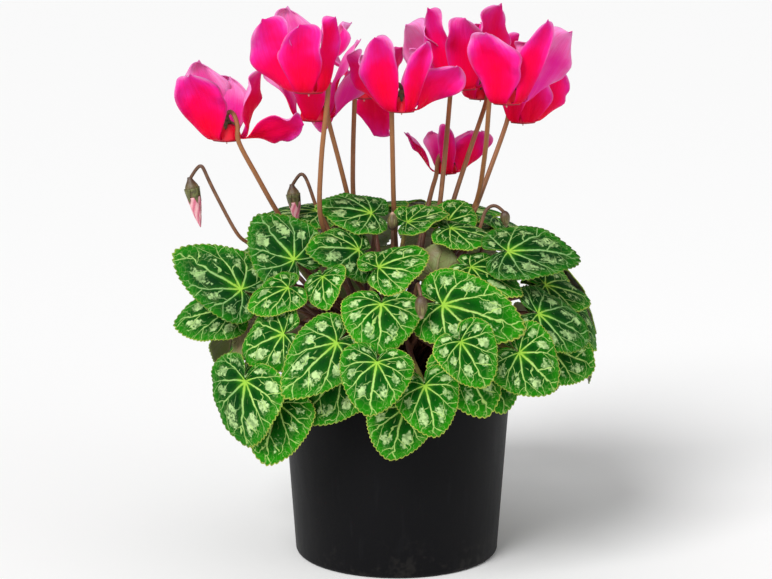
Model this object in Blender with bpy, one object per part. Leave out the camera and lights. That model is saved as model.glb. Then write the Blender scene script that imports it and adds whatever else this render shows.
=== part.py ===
"""Potted cyclamen: a black nursery pot with its soil, a tuber with all its stalks, leaf blades and flowers.

Metres, +Z up. The origin is the middle of the pot's underside and -Y is the plant's front. A place on the
plant is given as (azimuth, reach, height): degrees from the front, positive toward +X, then millimetres.
"""

import bpy
import bmesh
from math import cos, exp, pi, radians, sin, tau
from random import Random
from typing import NamedTuple

from mathutils import Matrix, Vector
from mathutils.bvhtree import BVHTree
from mathutils.kdtree import KDTree

MM = 0.001
GAP = 0.3 * MM

# Pot, a plain tapered nursery pot of 13 cm
POT_HEIGHT = 110 * MM
POT_FOOT_RADIUS = 57 * MM
POT_RIM_RADIUS = 64.5 * MM
POT_WALL = 2 * MM
POT_FLOOR = 2.5 * MM
POT_FOOT_ROUND = 2.5 * MM
POT_RIM_ROUND = 0.7 * MM
POT_SIDES = 36
DRAIN_HOLES = 4
DRAIN_RADIUS = 4 * MM
DRAIN_REACH = 38 * MM

# Soil and tuber
SOIL_HEIGHT = 97 * MM
SOIL_SIDES = 24
TUBER_RADIUS = 25 * MM
TUBER_HALF_HEIGHT = 13 * MM
TUBER_CENTRE = 98 * MM

# Canopy, a flattened dome whose surface the blades follow
DOME_RADIUS = 112 * MM
DOME_RISE = 82 * MM
DOME_CENTRE = 115 * MM

# Blades
BLADE_THICKNESS = 0.8 * MM
BLADE_CLEARANCE = 1.0 * MM
TEETH = 12
TOOTH_DEPTH = 0.045
NOTCH_HALF_ANGLE = radians(9)
RING_SHARE = 0.55

# How far a blade may be moved to clear its neighbours: lift in millimetres, pitch and roll in degrees
LARGEST_LIFT = 14
PITCHES = (0, -7, 7, -14, 14)
ROLLS = (0, -8, 8, -16, 16)

# Stalks
LEAF_STALK_RADIUS = 1.2 * MM
FLOWER_STALK_RADIUS = 1.5 * MM
BUD_STALK_RADIUS = 1.3 * MM
ROUTE_CLEARANCE = 0.7 * MM

# How far a bud may be moved to clear the blades: degrees round the plant, millimetres outward and up
BUD_TURNS = range(-9, 10, 3)
BUD_OUTS = range(-6, 19, 2)
BUD_UPS = range(-6, 13, 2)

SEAT_GAP = 1.2 * GAP

# The search for free routes
ROUTE_TRIALS = 700
CROWN_REACH = 15 * MM
LEAF_ROOT_REACH = (7, 20)
LEAF_STALK_PARTS = 5

# Flowers
RIM_RADIUS = 7.2 * MM
CUP_HEIGHT = 7 * MM
CUP_WALL = 1.3 * MM
PETAL_THICKNESS = 0.8 * MM
CALYX_RADIUS = 3.4 * MM
CALYX_LENGTH = 3.2 * MM

# A flower stalk's hook, as millimetres aside from the flower's axis and up from its mouth
HOOK = ((9.6, -2), (8.6, 6), (6.6, 11.2), (3.2, 13.4), (0.6, 11.8), (0, 9.4))


class Leaf(NamedTuple):
    """A blade from the joint with its stalk to its tip. Arch lifts the middle, hood drops both sides."""
    joint: tuple
    tip: tuple
    width: float
    roll: float = 0
    arch: float = 0.06
    hood: float = 0.2


class Blade(NamedTuple):
    """A laid blade: its shell and its frame, X from joint to tip and Z out of the upper face."""
    points: list
    sides: list
    frame: Matrix


class Petal(NamedTuple):
    """A petal by its root's turn round the mouth, its lean from upright, length, width, the turn that it
    heads for, the twist of its face and how far its edges bend off it."""
    turn: float
    lean: float
    length: float
    width: float
    heading: float
    twist: float = 0
    camber: float = 0.15


class Flower(NamedTuple):
    """A flower by the middle of its mouth, its size, the side that its stalk passes on, and its petals."""
    mouth: tuple
    size: float
    stalk_side: float
    exit: tuple
    petals: tuple


class Bud(NamedTuple):
    """A closed bud by the route of its stalk above the leaves, the last point being the bud's tip."""
    route: tuple
    radius: float
    length: float
    pink: bool = False


# Laid from the inside out: where two blades meet, the later one lies over the earlier one.
LEAVES = (
    # Far side
    Leaf((108, 54, 182), (100, 92, 170), 54),
    Leaf((160, 54, 187), (156, 98, 177), 60),
    Leaf((-122, 56, 182), (-114, 95, 172), 56),
    Leaf((101, 103, 126), (98, 111, 92), 46),
    Leaf((138, 104, 119), (140, 113, 80), 58),
    Leaf((178, 104, 118), (175, 113, 78), 58),
    Leaf((-144, 104, 120), (-142, 113, 81), 58),
    Leaf((-117, 102, 124), (-118, 112, 90), 48),
    Leaf((117, 90, 163), (112, 118, 131), 58),
    Leaf((159, 90, 163), (163, 118, 129), 62),
    Leaf((-160, 90, 163), (-164, 118, 129), 62),
    Leaf((-120, 91, 163), (-115, 119, 131), 58),
    # Inner and lower blades of the near side
    Leaf((-35, 108, 106), (-40, 108, 72), 42),
    Leaf((-17, 98, 124), (-30, 102, 97), 42),
    Leaf((2, 103, 108), (-3, 97, 78), 38),
    Leaf((31, 94, 128), (33, 102, 100), 38),
    Leaf((-59, 90, 142), (-58, 103, 120), 30, 180, 0.06, 0.1),
    Leaf((-66, 98, 146), (-78, 124, 135), 38, 0, 0.04, 0.25),
    Leaf((69, 97, 144), (79, 113, 122), 38),
    Leaf((52, 103, 130), (65, 117, 116), 37),
    Leaf((65, 88, 159), (76, 108, 147), 36),
    Leaf((20, 60, 168), (28, 50, 184), 28, 180, 0.06, 0.1),
    Leaf((55, 34, 191), (87, 38, 199), 30),
    Leaf((35, 47, 184), (50, 68, 177), 34, 0, 0.04, 0.3),
    Leaf((9, 36, 193), (42, 42, 198), 34, 0, 0.04, -0.1),
    # Outer blades of the near side
    Leaf((-43, 80, 177), (-62, 86, 198), 41, 0, 0.04, 0.12),
    Leaf((-20, 60, 181), (-38, 79, 179), 38, 0, 0.06, 0.25),
    Leaf((-22, 37, 197), (-54, 55, 197), 36, -22, 0.04, 0.1),
    Leaf((-55, 101, 161), (-69, 128, 179), 39, 0, 0.03, 0.1),
    Leaf((-41, 120, 119), (-43, 118, 82), 51, 0, 0.05, 0.12),
    Leaf((-33, 108, 144), (-46, 116, 132), 38),
    Leaf((-36, 96, 165), (-44, 111, 153), 30),
    Leaf((-26, 88, 172), (-22, 98, 157), 26),
    Leaf((-17, 107, 142), (-29, 119, 113), 38),
    Leaf((-5, 97, 161), (-5, 113, 137), 42),
    Leaf((7, 113, 122), (10, 116, 95), 35),
    Leaf((19, 103, 132), (25, 111, 102), 39),
    Leaf((-5, 121, 136), (-7, 126, 109), 38),
    Leaf((-7, 80, 176), (13, 73, 182), 39, 0, 0.05, 0.3),
    Leaf((31, 75, 174), (42, 98, 160), 34),
    Leaf((44, 82, 176), (62, 109, 172), 44, 0, 0.05, 0.1),
    Leaf((45, 104, 151), (59, 119, 134), 42),
    Leaf((33, 113, 135), (42, 121, 114), 40),
    Leaf((14, 96, 160), (36, 111, 144), 43),
    Leaf((15, 122, 146), (21, 128, 123), 34, 0, 0.02, -0.25),
)

FLOWERS = (
    Flower((-78, 94, 237), 1.05, 45, (-72, 68, 196), (
        Petal(-38, 11, 39, 24, -65, 36), Petal(-145, 8, 42, 22, -155), Petal(175, 12, 34, 20, 170),
        Petal(118, 5, 39, 22, 70, -55), Petal(92, 72, 34, 21, 88, -60))),
    Flower((-44, 67, 266), 1.05, 85, (-46, 52, 194), (
        Petal(-62, 18, 42, 26, -85, 50), Petal(-12, 6, 38, 24, -30), Petal(40, 4, 42, 15, 60),
        Petal(135, 12, 38, 20, 110, -40), Petal(-160, 6, 44, 22, -150))),
    Flower((-73, 47, 247), 1.0, 58, (-70, 27, 197), (
        Petal(104, 27, 43, 24, 88, -60), Petal(145, 14, 48, 16, 95, -40), Petal(-165, 12, 36, 20, -165),
        Petal(-100, 16, 34, 20, -110), Petal(-8, 10, 32, 18, 0))),
    Flower((-125, 22, 256), 0.95, -35, (-95, 24, 200), (
        Petal(155, 150, 28, 26, 180), Petal(-88, 102, 28, 28, -88, 60), Petal(100, 16, 33, 20, 92, -50),
        Petal(40, 10, 32, 20, 60), Petal(-145, 22, 38, 22, -100, 50))),
    Flower((4, 33, 254), 0.95, -145, (0, 24, 195), (
        Petal(-35, 12, 48, 22, -70, 30), Petal(-92, 26, 40, 22, -92, 50), Petal(22, 6, 44, 13, 80),
        Petal(78, 30, 35, 24, 90, -50), Petal(150, 10, 36, 20, 120))),
    Flower((96, 36, 262), 1.0, -140, (85, 24, 200), (
        Petal(-78, 26, 44, 26, -88, 50), Petal(-38, 12, 50, 15, -85, 20), Petal(8, 5, 44, 24, 0),
        Petal(98, 5, 50, 28, 70, -60), Petal(160, 8, 38, 22, 150))),
    Flower((126, 58, 253), 0.9, 20, (105, 32, 196), (
        Petal(-40, 8, 36, 20, -60), Petal(78, 8, 46, 16, 80, -30), Petal(130, 8, 34, 20, 130),
        Petal(-170, 10, 34, 20, -170), Petal(-105, 8, 34, 18, -100))),
    Flower((62, 66, 258), 1.0, -105, (66, 42, 195), (
        Petal(-30, 5, 42, 28, 0), Petal(30, 12, 51, 14, 88, -20), Petal(85, 26, 47, 26, 92, -55),
        Petal(145, 10, 34, 20, 130), Petal(-155, 10, 34, 20, -130))),
    Flower((97, 70, 243), 0.95, -92, (90, 43, 193), (
        Petal(72, 17, 36, 24, 90, -50), Petal(15, 8, 34, 22, 60, -20), Petal(150, 10, 34, 20, 140),
        Petal(-150, 8, 32, 18, -150), Petal(-38, 5, 32, 18, -40))),
    Flower((144, 48, 210), 0.8, -50, (148, 33, 190), (
        Petal(-100, 26, 36, 13, -92, 40), Petal(8, 3, 40, 13, -60), Petal(66, 16, 36, 24, 92, -45),
        Petal(130, 10, 32, 18, 120), Petal(-155, 8, 30, 16, -150))),
)

BUDS = (
    Bud(((-65, 94, 186), (-68, 108, 216), (-69, 112, 225), (-71, 117, 217), (-70, 112, 191)), 3.6, 13, True),
    Bud(((-90, 44, 192), (-92, 49, 207), (-93, 53, 212), (-93, 58, 205), (-92, 55, 184)), 3.4, 12, True),
    Bud(((64, 48, 187), (67, 50, 197), (69, 55, 200), (70, 60, 196), (71, 61, 186)), 2.6, 9),
    Bud(((6, 84, 163), (6, 95, 170), (6, 101, 172), (6.5, 105, 166), (6.5, 106, 156)), 3.2, 12),
    Bud(((-4, 40, 178), (-4, 40, 184), (-4, 40, 187), (-4, 40, 190), (-4, 40, 196)), 2.8, 10),
    Bud(((-46, 84, 164), (-47, 92, 171), (-48, 97, 171), (-49, 101, 166), (-50, 102, 159)), 2.4, 8),
    Bud(((72, 34, 186), (72, 36, 191), (74, 38, 193), (76, 40, 191), (77, 41, 184)), 2.4, 8),
)


def clear_scene():
    for item in list(bpy.data.objects):
        bpy.data.objects.remove(item, do_unlink=True)


def material(name, colour, roughness, metallic=0.0):
    made = bpy.data.materials.new(name)
    made.use_nodes = True
    shader = made.node_tree.nodes["Principled BSDF"]
    shader.inputs["Base Color"].default_value = (*colour, 1)
    shader.inputs["Roughness"].default_value = roughness
    shader.inputs["Metallic"].default_value = metallic
    return made


def mesh_object(name, mesh, skin=None):
    made = bpy.data.objects.new(name, mesh)
    bpy.context.scene.collection.objects.link(made)
    if skin:
        mesh.materials.clear()
        mesh.materials.append(skin)
    mesh.shade_smooth()
    mesh.set_sharp_from_angle(angle=radians(35))
    return made


def place(azimuth, reach, height):
    """The point at an azimuth in degrees, a reach and a height in millimetres."""
    angle = radians(azimuth)
    return Vector((reach * sin(angle), -reach * cos(angle), height)) * MM


def dome_outward(point):
    """The canopy's outward direction beside a point."""
    from_centre = point - Vector((0, 0, DOME_CENTRE))
    return Vector((from_centre.x / DOME_RADIUS ** 2, from_centre.y / DOME_RADIUS ** 2,
                   from_centre.z / DOME_RISE ** 2)).normalized()


def smooth_step(value):
    value = min(1, max(0, value))
    return value * value * (3 - 2 * value)


# Pot, soil and tuber

def turned(name, profile, sides):
    """A closed body turned round Z from a profile of (radius, height) that starts and ends on the axis."""
    shape = bmesh.new()
    line = [shape.verts.new((radius, 0, height)) for radius, height in profile]
    edges = [shape.edges.new(pair) for pair in zip(line, line[1:])]
    bmesh.ops.spin(shape, geom=line + edges, axis=(0, 0, 1), cent=(0, 0, 0), angle=tau, steps=sides,
                   use_merge=True, use_normal_flip=False)
    bmesh.ops.remove_doubles(shape, verts=shape.verts, dist=1e-6)
    bmesh.ops.recalc_face_normals(shape, faces=shape.faces)
    mesh = bpy.data.meshes.new(name)
    shape.to_mesh(mesh)
    shape.free()
    return mesh


def pot_radius(height):
    """The pot's outer radius at a height."""
    return POT_FOOT_RADIUS + (POT_RIM_RADIUS - POT_FOOT_RADIUS) * height / POT_HEIGHT


def make_pot(skin):
    profile = [
        (0, 0),
        (POT_FOOT_RADIUS - POT_FOOT_ROUND, 0),
        (POT_FOOT_RADIUS - 0.3 * POT_FOOT_ROUND, 0.3 * POT_FOOT_ROUND),
        (pot_radius(POT_FOOT_ROUND), POT_FOOT_ROUND),
        (POT_RIM_RADIUS, POT_HEIGHT - POT_RIM_ROUND),
        (POT_RIM_RADIUS - POT_RIM_ROUND, POT_HEIGHT),
        (POT_RIM_RADIUS - POT_WALL, POT_HEIGHT),
        (pot_radius(POT_FLOOR) - POT_WALL, POT_FLOOR),
        (0, POT_FLOOR),
    ]
    pot = mesh_object("pot", turned("pot", profile, POT_SIDES), skin)
    for index in range(DRAIN_HOLES):
        angle = tau * (index + 0.5) / DRAIN_HOLES
        bpy.ops.mesh.primitive_cylinder_add(vertices=10, radius=DRAIN_RADIUS, depth=4 * POT_FLOOR,
                                            location=(DRAIN_REACH * cos(angle), DRAIN_REACH * sin(angle), 0))
        cutter = bpy.context.object
        cutter.name = f"drain_cutter_{index + 1}"
        cutter.hide_render = True
        cutter.display_type = "WIRE"
        hole = pot.modifiers.new(f"Drain {index + 1}", "BOOLEAN")
        hole.operation = "DIFFERENCE"
        hole.object = cutter
    return pot


def make_soil(skin):
    """The filling, with a recess that the tuber sits in."""
    floor = POT_FLOOR + GAP
    wall = pot_radius(floor) - POT_WALL - 2 * GAP
    top_wall = pot_radius(SOIL_HEIGHT) - POT_WALL - 2 * GAP
    recess = [(sin(angle), -cos(angle)) for angle in (0, 0.5, 1.0, 1.35)]
    seat = [((TUBER_RADIUS + GAP) * across, TUBER_CENTRE + (TUBER_HALF_HEIGHT + 2 * GAP) * up)
            for across, up in recess]
    profile = [
        (0, floor),
        (wall, floor),
        (top_wall, SOIL_HEIGHT),
        (0.75 * top_wall, SOIL_HEIGHT + 1.5 * MM),
        (TUBER_RADIUS + 6 * MM, SOIL_HEIGHT + 0.5 * MM),
        *reversed(seat),
    ]
    return mesh_object("soil", turned("soil", profile, SOIL_SIDES), skin)


def make_tuber():
    """The flattened tuber, the body that every stalk is joined to."""
    shape = bmesh.new()
    bmesh.ops.create_uvsphere(shape, u_segments=16, v_segments=8, radius=1)
    seated = 0.985 * TUBER_RADIUS
    bmesh.ops.scale(shape, vec=(seated, seated, TUBER_HALF_HEIGHT), verts=shape.verts)
    bmesh.ops.translate(shape, vec=(0, 0, TUBER_CENTRE), verts=shape.verts)
    mesh = bpy.data.meshes.new("tuber_and_stalks")
    shape.to_mesh(mesh)
    shape.free()
    return mesh


# Blades

def outline(turn):
    """The margin's distance from the joint, the tip at 1, at an angle from the midrib."""
    turn = abs(turn)
    body = 0.62 + 0.38 * exp(-(turn / 0.65) ** 1.4)
    lobes = 0.28 * smooth_step((turn - 1.6) / 1.2)
    notch = 1 - 0.9 * exp(-((pi - turn) / 0.3) ** 2)
    return (body - lobes) * notch


HALF_WIDTH = max(outline(turn) * sin(turn) for turn in (0.02 * step for step in range(157)))


def leaf_matrix(leaf):
    """X from joint to tip, Z out of the upper face."""
    joint = place(*leaf.joint)
    tip = place(*leaf.tip)
    along = (tip - joint).normalized()
    outward = dome_outward((joint + tip) / 2)
    facing = (outward - outward.dot(along) * along).normalized()
    facing = Matrix.Rotation(radians(leaf.roll), 3, along) @ facing
    across = facing.cross(along)
    matrix = Matrix((along, across, facing)).transposed().to_4x4()
    matrix.translation = joint
    return matrix


def blade_point(leaf, index, share, turn, tooth=0.0):
    """A point of the blade's middle surface, in its own frame."""
    length = (place(*leaf.tip) - place(*leaf.joint)).length
    broad = leaf.width * MM / (2 * HALF_WIDTH * length)
    reach = share * outline(turn) * (1 + tooth)
    along = reach * cos(turn)
    across = reach * sin(turn) * broad
    lift = 4 * leaf.arch * along * (1 - along) - leaf.hood * across ** 2
    lift += 0.03 * share ** 2 * sin(3 * turn + 1.7 * index)
    return Vector((along, across, lift)) * length


def blade_shell(leaf, index, thickness):
    """Points and faces of a blade: joint, middle ring and toothed margin, alike on both faces."""
    inner_steps = TEETH * 2 // 3
    outer_steps = TEETH * 2
    span = pi - NOTCH_HALF_ANGLE
    surface = bmesh.new()
    joint = surface.verts.new(blade_point(leaf, index, 0, 0))
    ring = [surface.verts.new(blade_point(leaf, index, RING_SHARE, span * (2 * step / inner_steps - 1)))
            for step in range(inner_steps + 1)]
    margin = []
    for step in range(outer_steps + 1):
        tooth = TOOTH_DEPTH if step % 2 == 0 else -TOOTH_DEPTH
        turn = span * (2 * step / outer_steps - 1)
        margin.append(surface.verts.new(blade_point(leaf, index, 1, turn, tooth)))
    for step in range(inner_steps):
        first, second = ring[step], ring[step + 1]
        a, b, c, d = margin[3 * step:3 * step + 4]
        for corners in ((joint, first, second), (first, a, b), (first, b, second),
                        (second, b, c), (second, c, d)):
            surface.faces.new(corners)
    surface.normal_update()
    surface.verts.index_update()
    points = [vert.co.copy() for vert in surface.verts]
    normals = [vert.normal.copy() for vert in surface.verts]
    faces = [[vert.index for vert in face.verts] for face in surface.faces]
    rim = [edge for edge in surface.edges if edge.is_boundary]
    border = []
    for edge in rim:
        loop = edge.link_loops[0]
        border.append((loop.vert.index, loop.link_loop_next.vert.index))
    surface.free()
    count = len(points)
    shell = [point + normal * thickness / 2 for point, normal in zip(points, normals)]
    shell += [point - normal * thickness / 2 for point, normal in zip(points, normals)]
    sides = list(faces)
    sides += [[corner + count for corner in reversed(face)] for face in faces]
    for start, end in border:
        sides.append([end, start, start + count])
        sides.append([end, start + count, end + count])
    return shell, sides


def lay_leaves():
    """Move each blade clear of those laid before it, by the least lift and tilt about its joint."""
    moves = [(lift, pitch, roll) for lift in range(LARGEST_LIFT + 1) for pitch in PITCHES for roll in ROLLS]
    moves.sort(key=lambda move: move[0] + abs(move[1]) / 5 + abs(move[2]) / 6)
    laid = []
    trees = []
    for index, leaf in enumerate(LEAVES):
        matrix = leaf_matrix(leaf)
        thick, sides = blade_shell(leaf, index, BLADE_THICKNESS + BLADE_CLEARANCE)
        for lift, pitch, roll in moves:
            turned_by = Matrix.Rotation(radians(roll), 4, "X") @ Matrix.Rotation(radians(pitch), 4, "Y")
            pose = matrix @ Matrix.Translation((0, 0, lift * MM)) @ turned_by
            tree = BVHTree.FromPolygons([pose @ point for point in thick], sides)
            if not any(tree.overlap(other) for other in trees):
                break
        else:
            raise RuntimeError(f"leaf {index + 1} finds no clear place")
        trees.append(tree)
        points, sides = blade_shell(leaf, index, BLADE_THICKNESS)
        laid.append(Blade([pose @ point for point in points], sides, pose))
    return laid


# Flowers

def flower_matrix(flower):
    """Z up from the mouth, X toward +X."""
    matrix = Matrix.Translation(place(*flower.mouth))
    return matrix @ Matrix.Scale(flower.size, 4)


def petal_frame(petal, share):
    """A petal's middle line at a share of its length: point, direction, across and off its face."""
    steps = 24
    root = radians(petal.turn)
    point = Vector((sin(root), -cos(root), 0)) * (RIM_RADIUS - 0.5 * CUP_WALL)
    for step in range(steps + 1):
        at = step / steps
        lean = radians(petal.lean + (112 - petal.lean) * exp(-at / 0.09))
        heading = radians(petal.turn + (petal.heading - petal.turn) * smooth_step(at / 0.45))
        direction = Vector((sin(lean) * sin(heading), -sin(lean) * cos(heading), cos(lean)))
        if at >= share:
            break
        point = point + direction * min(1 / steps, share - at) * petal.length * MM
    across = Vector((cos(root), sin(root), 0))
    across = (across - across.dot(direction) * direction).normalized()
    across = Matrix.Rotation(radians(petal.twist) * smooth_step(share / 0.55), 3, direction) @ across
    return point, direction, across, direction.cross(across)


def petal_width(share):
    """A petal's width as a share of its widest."""
    if share < 0.62:
        return 0.26 + 0.74 * sin(pi / 2 * share / 0.62) ** 1.2
    return max(0, 1 - ((share - 0.62) / 0.42) ** 2) ** 0.5


def petal_point(petal, share, side, level=0.0):
    """A point of a petal in its flower's frame: side runs from -1 to 1, level is the height off its face."""
    point, direction, across, off = petal_frame(petal, share)
    half = petal.width * MM / 2 * petal_width(share)
    camber = petal.camber * petal.width * MM * smooth_step(share / 0.5) * side ** 2
    return point + across * half * side + off * (level + camber)


def petal_body(petal):
    """A closed petal whose root is sunk in the cup."""
    shape = bmesh.new()
    shares = (0, 0.2, 0.62, 1)
    sheets = []
    for level in (PETAL_THICKNESS / 2, -PETAL_THICKNESS / 2):
        sheets.append([[shape.verts.new(petal_point(petal, share, side, level)) for side in (-1, 0, 1)]
                       for share in shares])
    rows = len(shares) - 1
    for row in range(rows):
        for column in (0, 1):
            for sheet, flip in zip(sheets, (False, True)):
                a, b = sheet[row][column], sheet[row][column + 1]
                c, d = sheet[row + 1][column + 1], sheet[row + 1][column]
                pair = ((a, b, d), (b, c, d)) if column else ((a, b, c), (a, c, d))
                for corners in pair:
                    shape.faces.new(reversed(corners) if flip else corners)
    upper, lower = sheets
    border = [(0, column) for column in (0, 1, 2)] + [(row, 2) for row in range(1, rows + 1)]
    border += [(rows, 1), (rows, 0)] + [(row, 0) for row in range(rows - 1, -1, -1)]
    for (row, column), (next_row, next_column) in zip(border, border[1:]):
        a, b = upper[row][column], upper[next_row][next_column]
        c, d = lower[next_row][next_column], lower[row][column]
        shape.faces.new((a, c, b))
        shape.faces.new((a, d, c))
    bmesh.ops.recalc_face_normals(shape, faces=shape.faces)
    return shape


def cup_body():
    """The short cup that the petals grow from, open at its mouth below."""
    profile = [
        (0, CUP_HEIGHT),
        (0.5 * RIM_RADIUS, 0.95 * CUP_HEIGHT),
        (0.86 * RIM_RADIUS, 0.55 * CUP_HEIGHT),
        (RIM_RADIUS, 0),
        (RIM_RADIUS - CUP_WALL, 0),
        (0.86 * RIM_RADIUS - CUP_WALL, 0.5 * CUP_HEIGHT),
        (0, CUP_HEIGHT - 1.5 * CUP_WALL),
    ]
    return turned("cup", profile, 8)


def flower_tree(flower):
    """The flower's cup and petals, as a tree for distances."""
    points, sides = [], []
    shapes = [petal_body(petal) for petal in flower.petals]
    shapes.append(bmesh.new())
    shapes[-1].from_mesh(cup_body())
    matrix = flower_matrix(flower)
    for shape in shapes:
        shape.verts.index_update()
        start = len(points)
        points += [matrix @ vert.co for vert in shape.verts]
        sides += [[start + vert.index for vert in face.verts] for face in shape.faces]
        shape.free()
    return BVHTree.FromPolygons(points, sides)


def fill_pockets(shape):
    """Keep the one large body, so that any pocket closed in between crossing pieces is solid."""
    left = set(shape.verts)
    islands = []
    while left:
        island = [left.pop()]
        for vert in island:
            near = {edge.other_vert(vert) for edge in vert.link_edges} & left
            left -= near
            island += near
        islands.append(island)
    islands.sort(key=len)
    for island in islands[:-1]:
        bmesh.ops.delete(shape, geom=island, context="VERTS")


def join_bodies(base, parts, name):
    """Union of a base object with bodies, which are removed afterwards."""
    group = bpy.data.collections.new(name)
    for part in parts:
        group.objects.link(part)
    join = base.modifiers.new("Join", "BOOLEAN")
    join.operation = "UNION"
    join.operand_type = "COLLECTION"
    join.collection = group
    join.solver = "MANIFOLD"
    graph = bpy.context.evaluated_depsgraph_get()
    mesh = bpy.data.meshes.new_from_object(base.evaluated_get(graph))
    mesh.name = name
    shape = bmesh.new()
    shape.from_mesh(mesh)
    fill_pockets(shape)
    bmesh.ops.dissolve_limit(shape, angle_limit=radians(0.05), verts=shape.verts, edges=shape.edges)
    bmesh.ops.triangulate(shape, faces=shape.faces)
    shape.to_mesh(mesh)
    shape.free()
    base.modifiers.clear()
    base.data = mesh
    for part in parts:
        bpy.data.objects.remove(part, do_unlink=True)
    bpy.data.collections.remove(group)
    return base


def make_bloom(name, flower, skin):
    base = mesh_object(name, cup_body(), skin)
    parts = []
    for petal in flower.petals:
        shape = petal_body(petal)
        mesh = bpy.data.meshes.new("petal")
        shape.to_mesh(mesh)
        shape.free()
        parts.append(mesh_object("petal", mesh, skin))
    join_bodies(base, parts, name)
    base.data.transform(flower_matrix(flower))
    base.data.shade_smooth()
    base.data.set_sharp_from_angle(angle=radians(35))
    return base


# Stalks

def smooth_route(points, parts):
    """Points along a Catmull-Rom curve through the given ones."""
    padded = [2 * points[0] - points[1], *points, 2 * points[-1] - points[-2]]
    route = []
    for before, start, end, after in zip(padded, padded[1:], padded[2:], padded[3:]):
        for step in range(parts):
            t = step / parts
            square = (2 * before - 5 * start + 4 * end - after) * t ** 2
            cube = (3 * start - before - 3 * end + after) * t ** 3
            route.append(0.5 * (2 * start + (end - before) * t + square + cube))
    route.append(points[-1])
    return route


def bezier(start, first, second, end, parts):
    route = []
    for step in range(parts + 1):
        t = step / parts
        leaving = (1 - t) ** 3 * start + 3 * (1 - t) ** 2 * t * first
        route.append(leaving + 3 * (1 - t) * t ** 2 * second + t ** 3 * end)
    return route


def clearance(route, trees, skip_end=0.0, enough=0.0):
    """The least distance from a route to the trees, its last stretch left out. Stops below what is enough."""
    least = 1.0
    total = sum((b - a).length for a, b in zip(route, route[1:]))
    gone = 0.0
    for a, b in zip(route, route[1:]):
        span = (b - a).length
        count = max(1, int(span / (2.5 * MM)))
        for step in range(count):
            if total - gone - span * step / count < skip_end:
                return least
            point = a.lerp(b, step / count)
            for tree in trees:
                least = min(least, tree.find_nearest(point)[3])
            if least < enough:
                return least
        gone += span
    return least


def samples(route):
    """Points along a route, closer together than a stalk is thick."""
    return [a.lerp(b, step / 8) for a, b in zip(route, route[1:]) for step in range(8)]


def spacing(route, standing):
    """The least distance from a route to the stalks that stand already, above the crowd on the tuber."""
    if not standing:
        return 1.0
    tree = KDTree(len(standing))
    for index, point in enumerate(standing):
        tree.insert(point, index)
    tree.balance()
    crowd = TUBER_CENTRE + TUBER_HALF_HEIGHT + 8 * MM
    return min((tree.find(point)[2] for point in samples(route) if point.z > crowd), default=1.0)


def tube(route, radii, sides):
    """A tube along a route, closed at both ends."""
    curve = bpy.data.curves.new("stalk", "CURVE")
    curve.dimensions = "3D"
    curve.bevel_depth = 1
    curve.bevel_resolution = (sides - 4) // 2
    curve.use_fill_caps = True
    spline = curve.splines.new("POLY")
    spline.points.add(len(route) - 1)
    for point, co, radius in zip(spline.points, route, radii):
        point.co = (*co, 1)
        point.radius = radius
    holder = bpy.data.objects.new("stalk", curve)
    bpy.context.scene.collection.objects.link(holder)
    graph = bpy.context.evaluated_depsgraph_get()
    mesh = bpy.data.meshes.new_from_object(holder.evaluated_get(graph))
    bpy.data.objects.remove(holder, do_unlink=True)
    bpy.data.curves.remove(curve)
    shape = bmesh.new()
    shape.from_mesh(mesh)
    bmesh.ops.remove_doubles(shape, verts=shape.verts, dist=1e-6)
    bmesh.ops.recalc_face_normals(shape, faces=shape.faces)
    shape.to_mesh(mesh)
    shape.free()
    return mesh_object("stalk", mesh)


def tuber_root(azimuth, reach):
    """A point just inside the tuber's top."""
    height = TUBER_HALF_HEIGHT * (1 - (reach / TUBER_RADIUS) ** 2) ** 0.5 - 4 * MM
    angle = radians(azimuth)
    return Vector((reach * sin(angle), -reach * cos(angle), TUBER_CENTRE + height))


def leaf_routes(blades, solids):
    """A route for each leaf stalk that keeps clear of every blade and flower and ends under its own blade."""
    draw = Random(5)
    trees = [BVHTree.FromPolygons(blade.points, blade.sides) for blade in blades]
    standing = []
    routes = []
    for index, blade in enumerate(blades):
        along, across, facing = (Vector(axis) for axis in blade.frame.to_3x3().col)
        azimuth = LEAVES[index].joint[0]
        others = trees[:index] + trees[index + 1:] + solids
        best_room, best_gap, best_route = 0, 0, None
        for trial in range(ROUTE_TRIALS):
            spread = 0.15 + 0.85 * trial / ROUTE_TRIALS
            arriving = 0.8 * facing + (0.6 + spread * draw.uniform(-1.5, 0.4)) * along
            arriving = (arriving + spread * draw.uniform(-0.8, 0.8) * across).normalized()
            swing = draw.uniform(-1, 1) * 60 * spread
            turn = azimuth + draw.uniform(-1, 1) * 40 * spread
            root = tuber_root(turn, draw.uniform(*LEAF_ROOT_REACH) * MM)
            leave = Vector((sin(radians(azimuth + swing)), -cos(radians(azimuth + swing)), 0))
            first = root + Vector((0, 0, draw.uniform(18, 60) * MM)) + leave * draw.uniform(4, 40) * MM
            end = blade.frame.translation - facing * (BLADE_THICKNESS / 2 + GAP + LEAF_STALK_RADIUS)
            back = arriving * draw.uniform(14, 45) * MM
            route = bezier(root, first, end - back, end, LEAF_STALK_PARTS)
            wanted = LEAF_STALK_RADIUS + ROUTE_CLEARANCE
            room = clearance(route, [trees[index]], 5 * MM, min(best_room, wanted))
            room = min(room, clearance(route, others, 0, min(best_room, wanted)))
            if room < min(best_room, wanted):
                continue
            gap = spacing(route, standing)
            if room > best_room and best_room < wanted or gap > best_gap:
                best_room, best_gap, best_route = room, gap, route
            if best_room > wanted and best_gap > 2.5 * LEAF_STALK_RADIUS:
                break
        if best_room < LEAF_STALK_RADIUS + GAP:
            raise RuntimeError(f"the stalk of leaf {index + 1} finds no clear route")
        standing += samples(best_route)
        routes.append(seat_under(best_route, trees[index], facing))
    return routes


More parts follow.
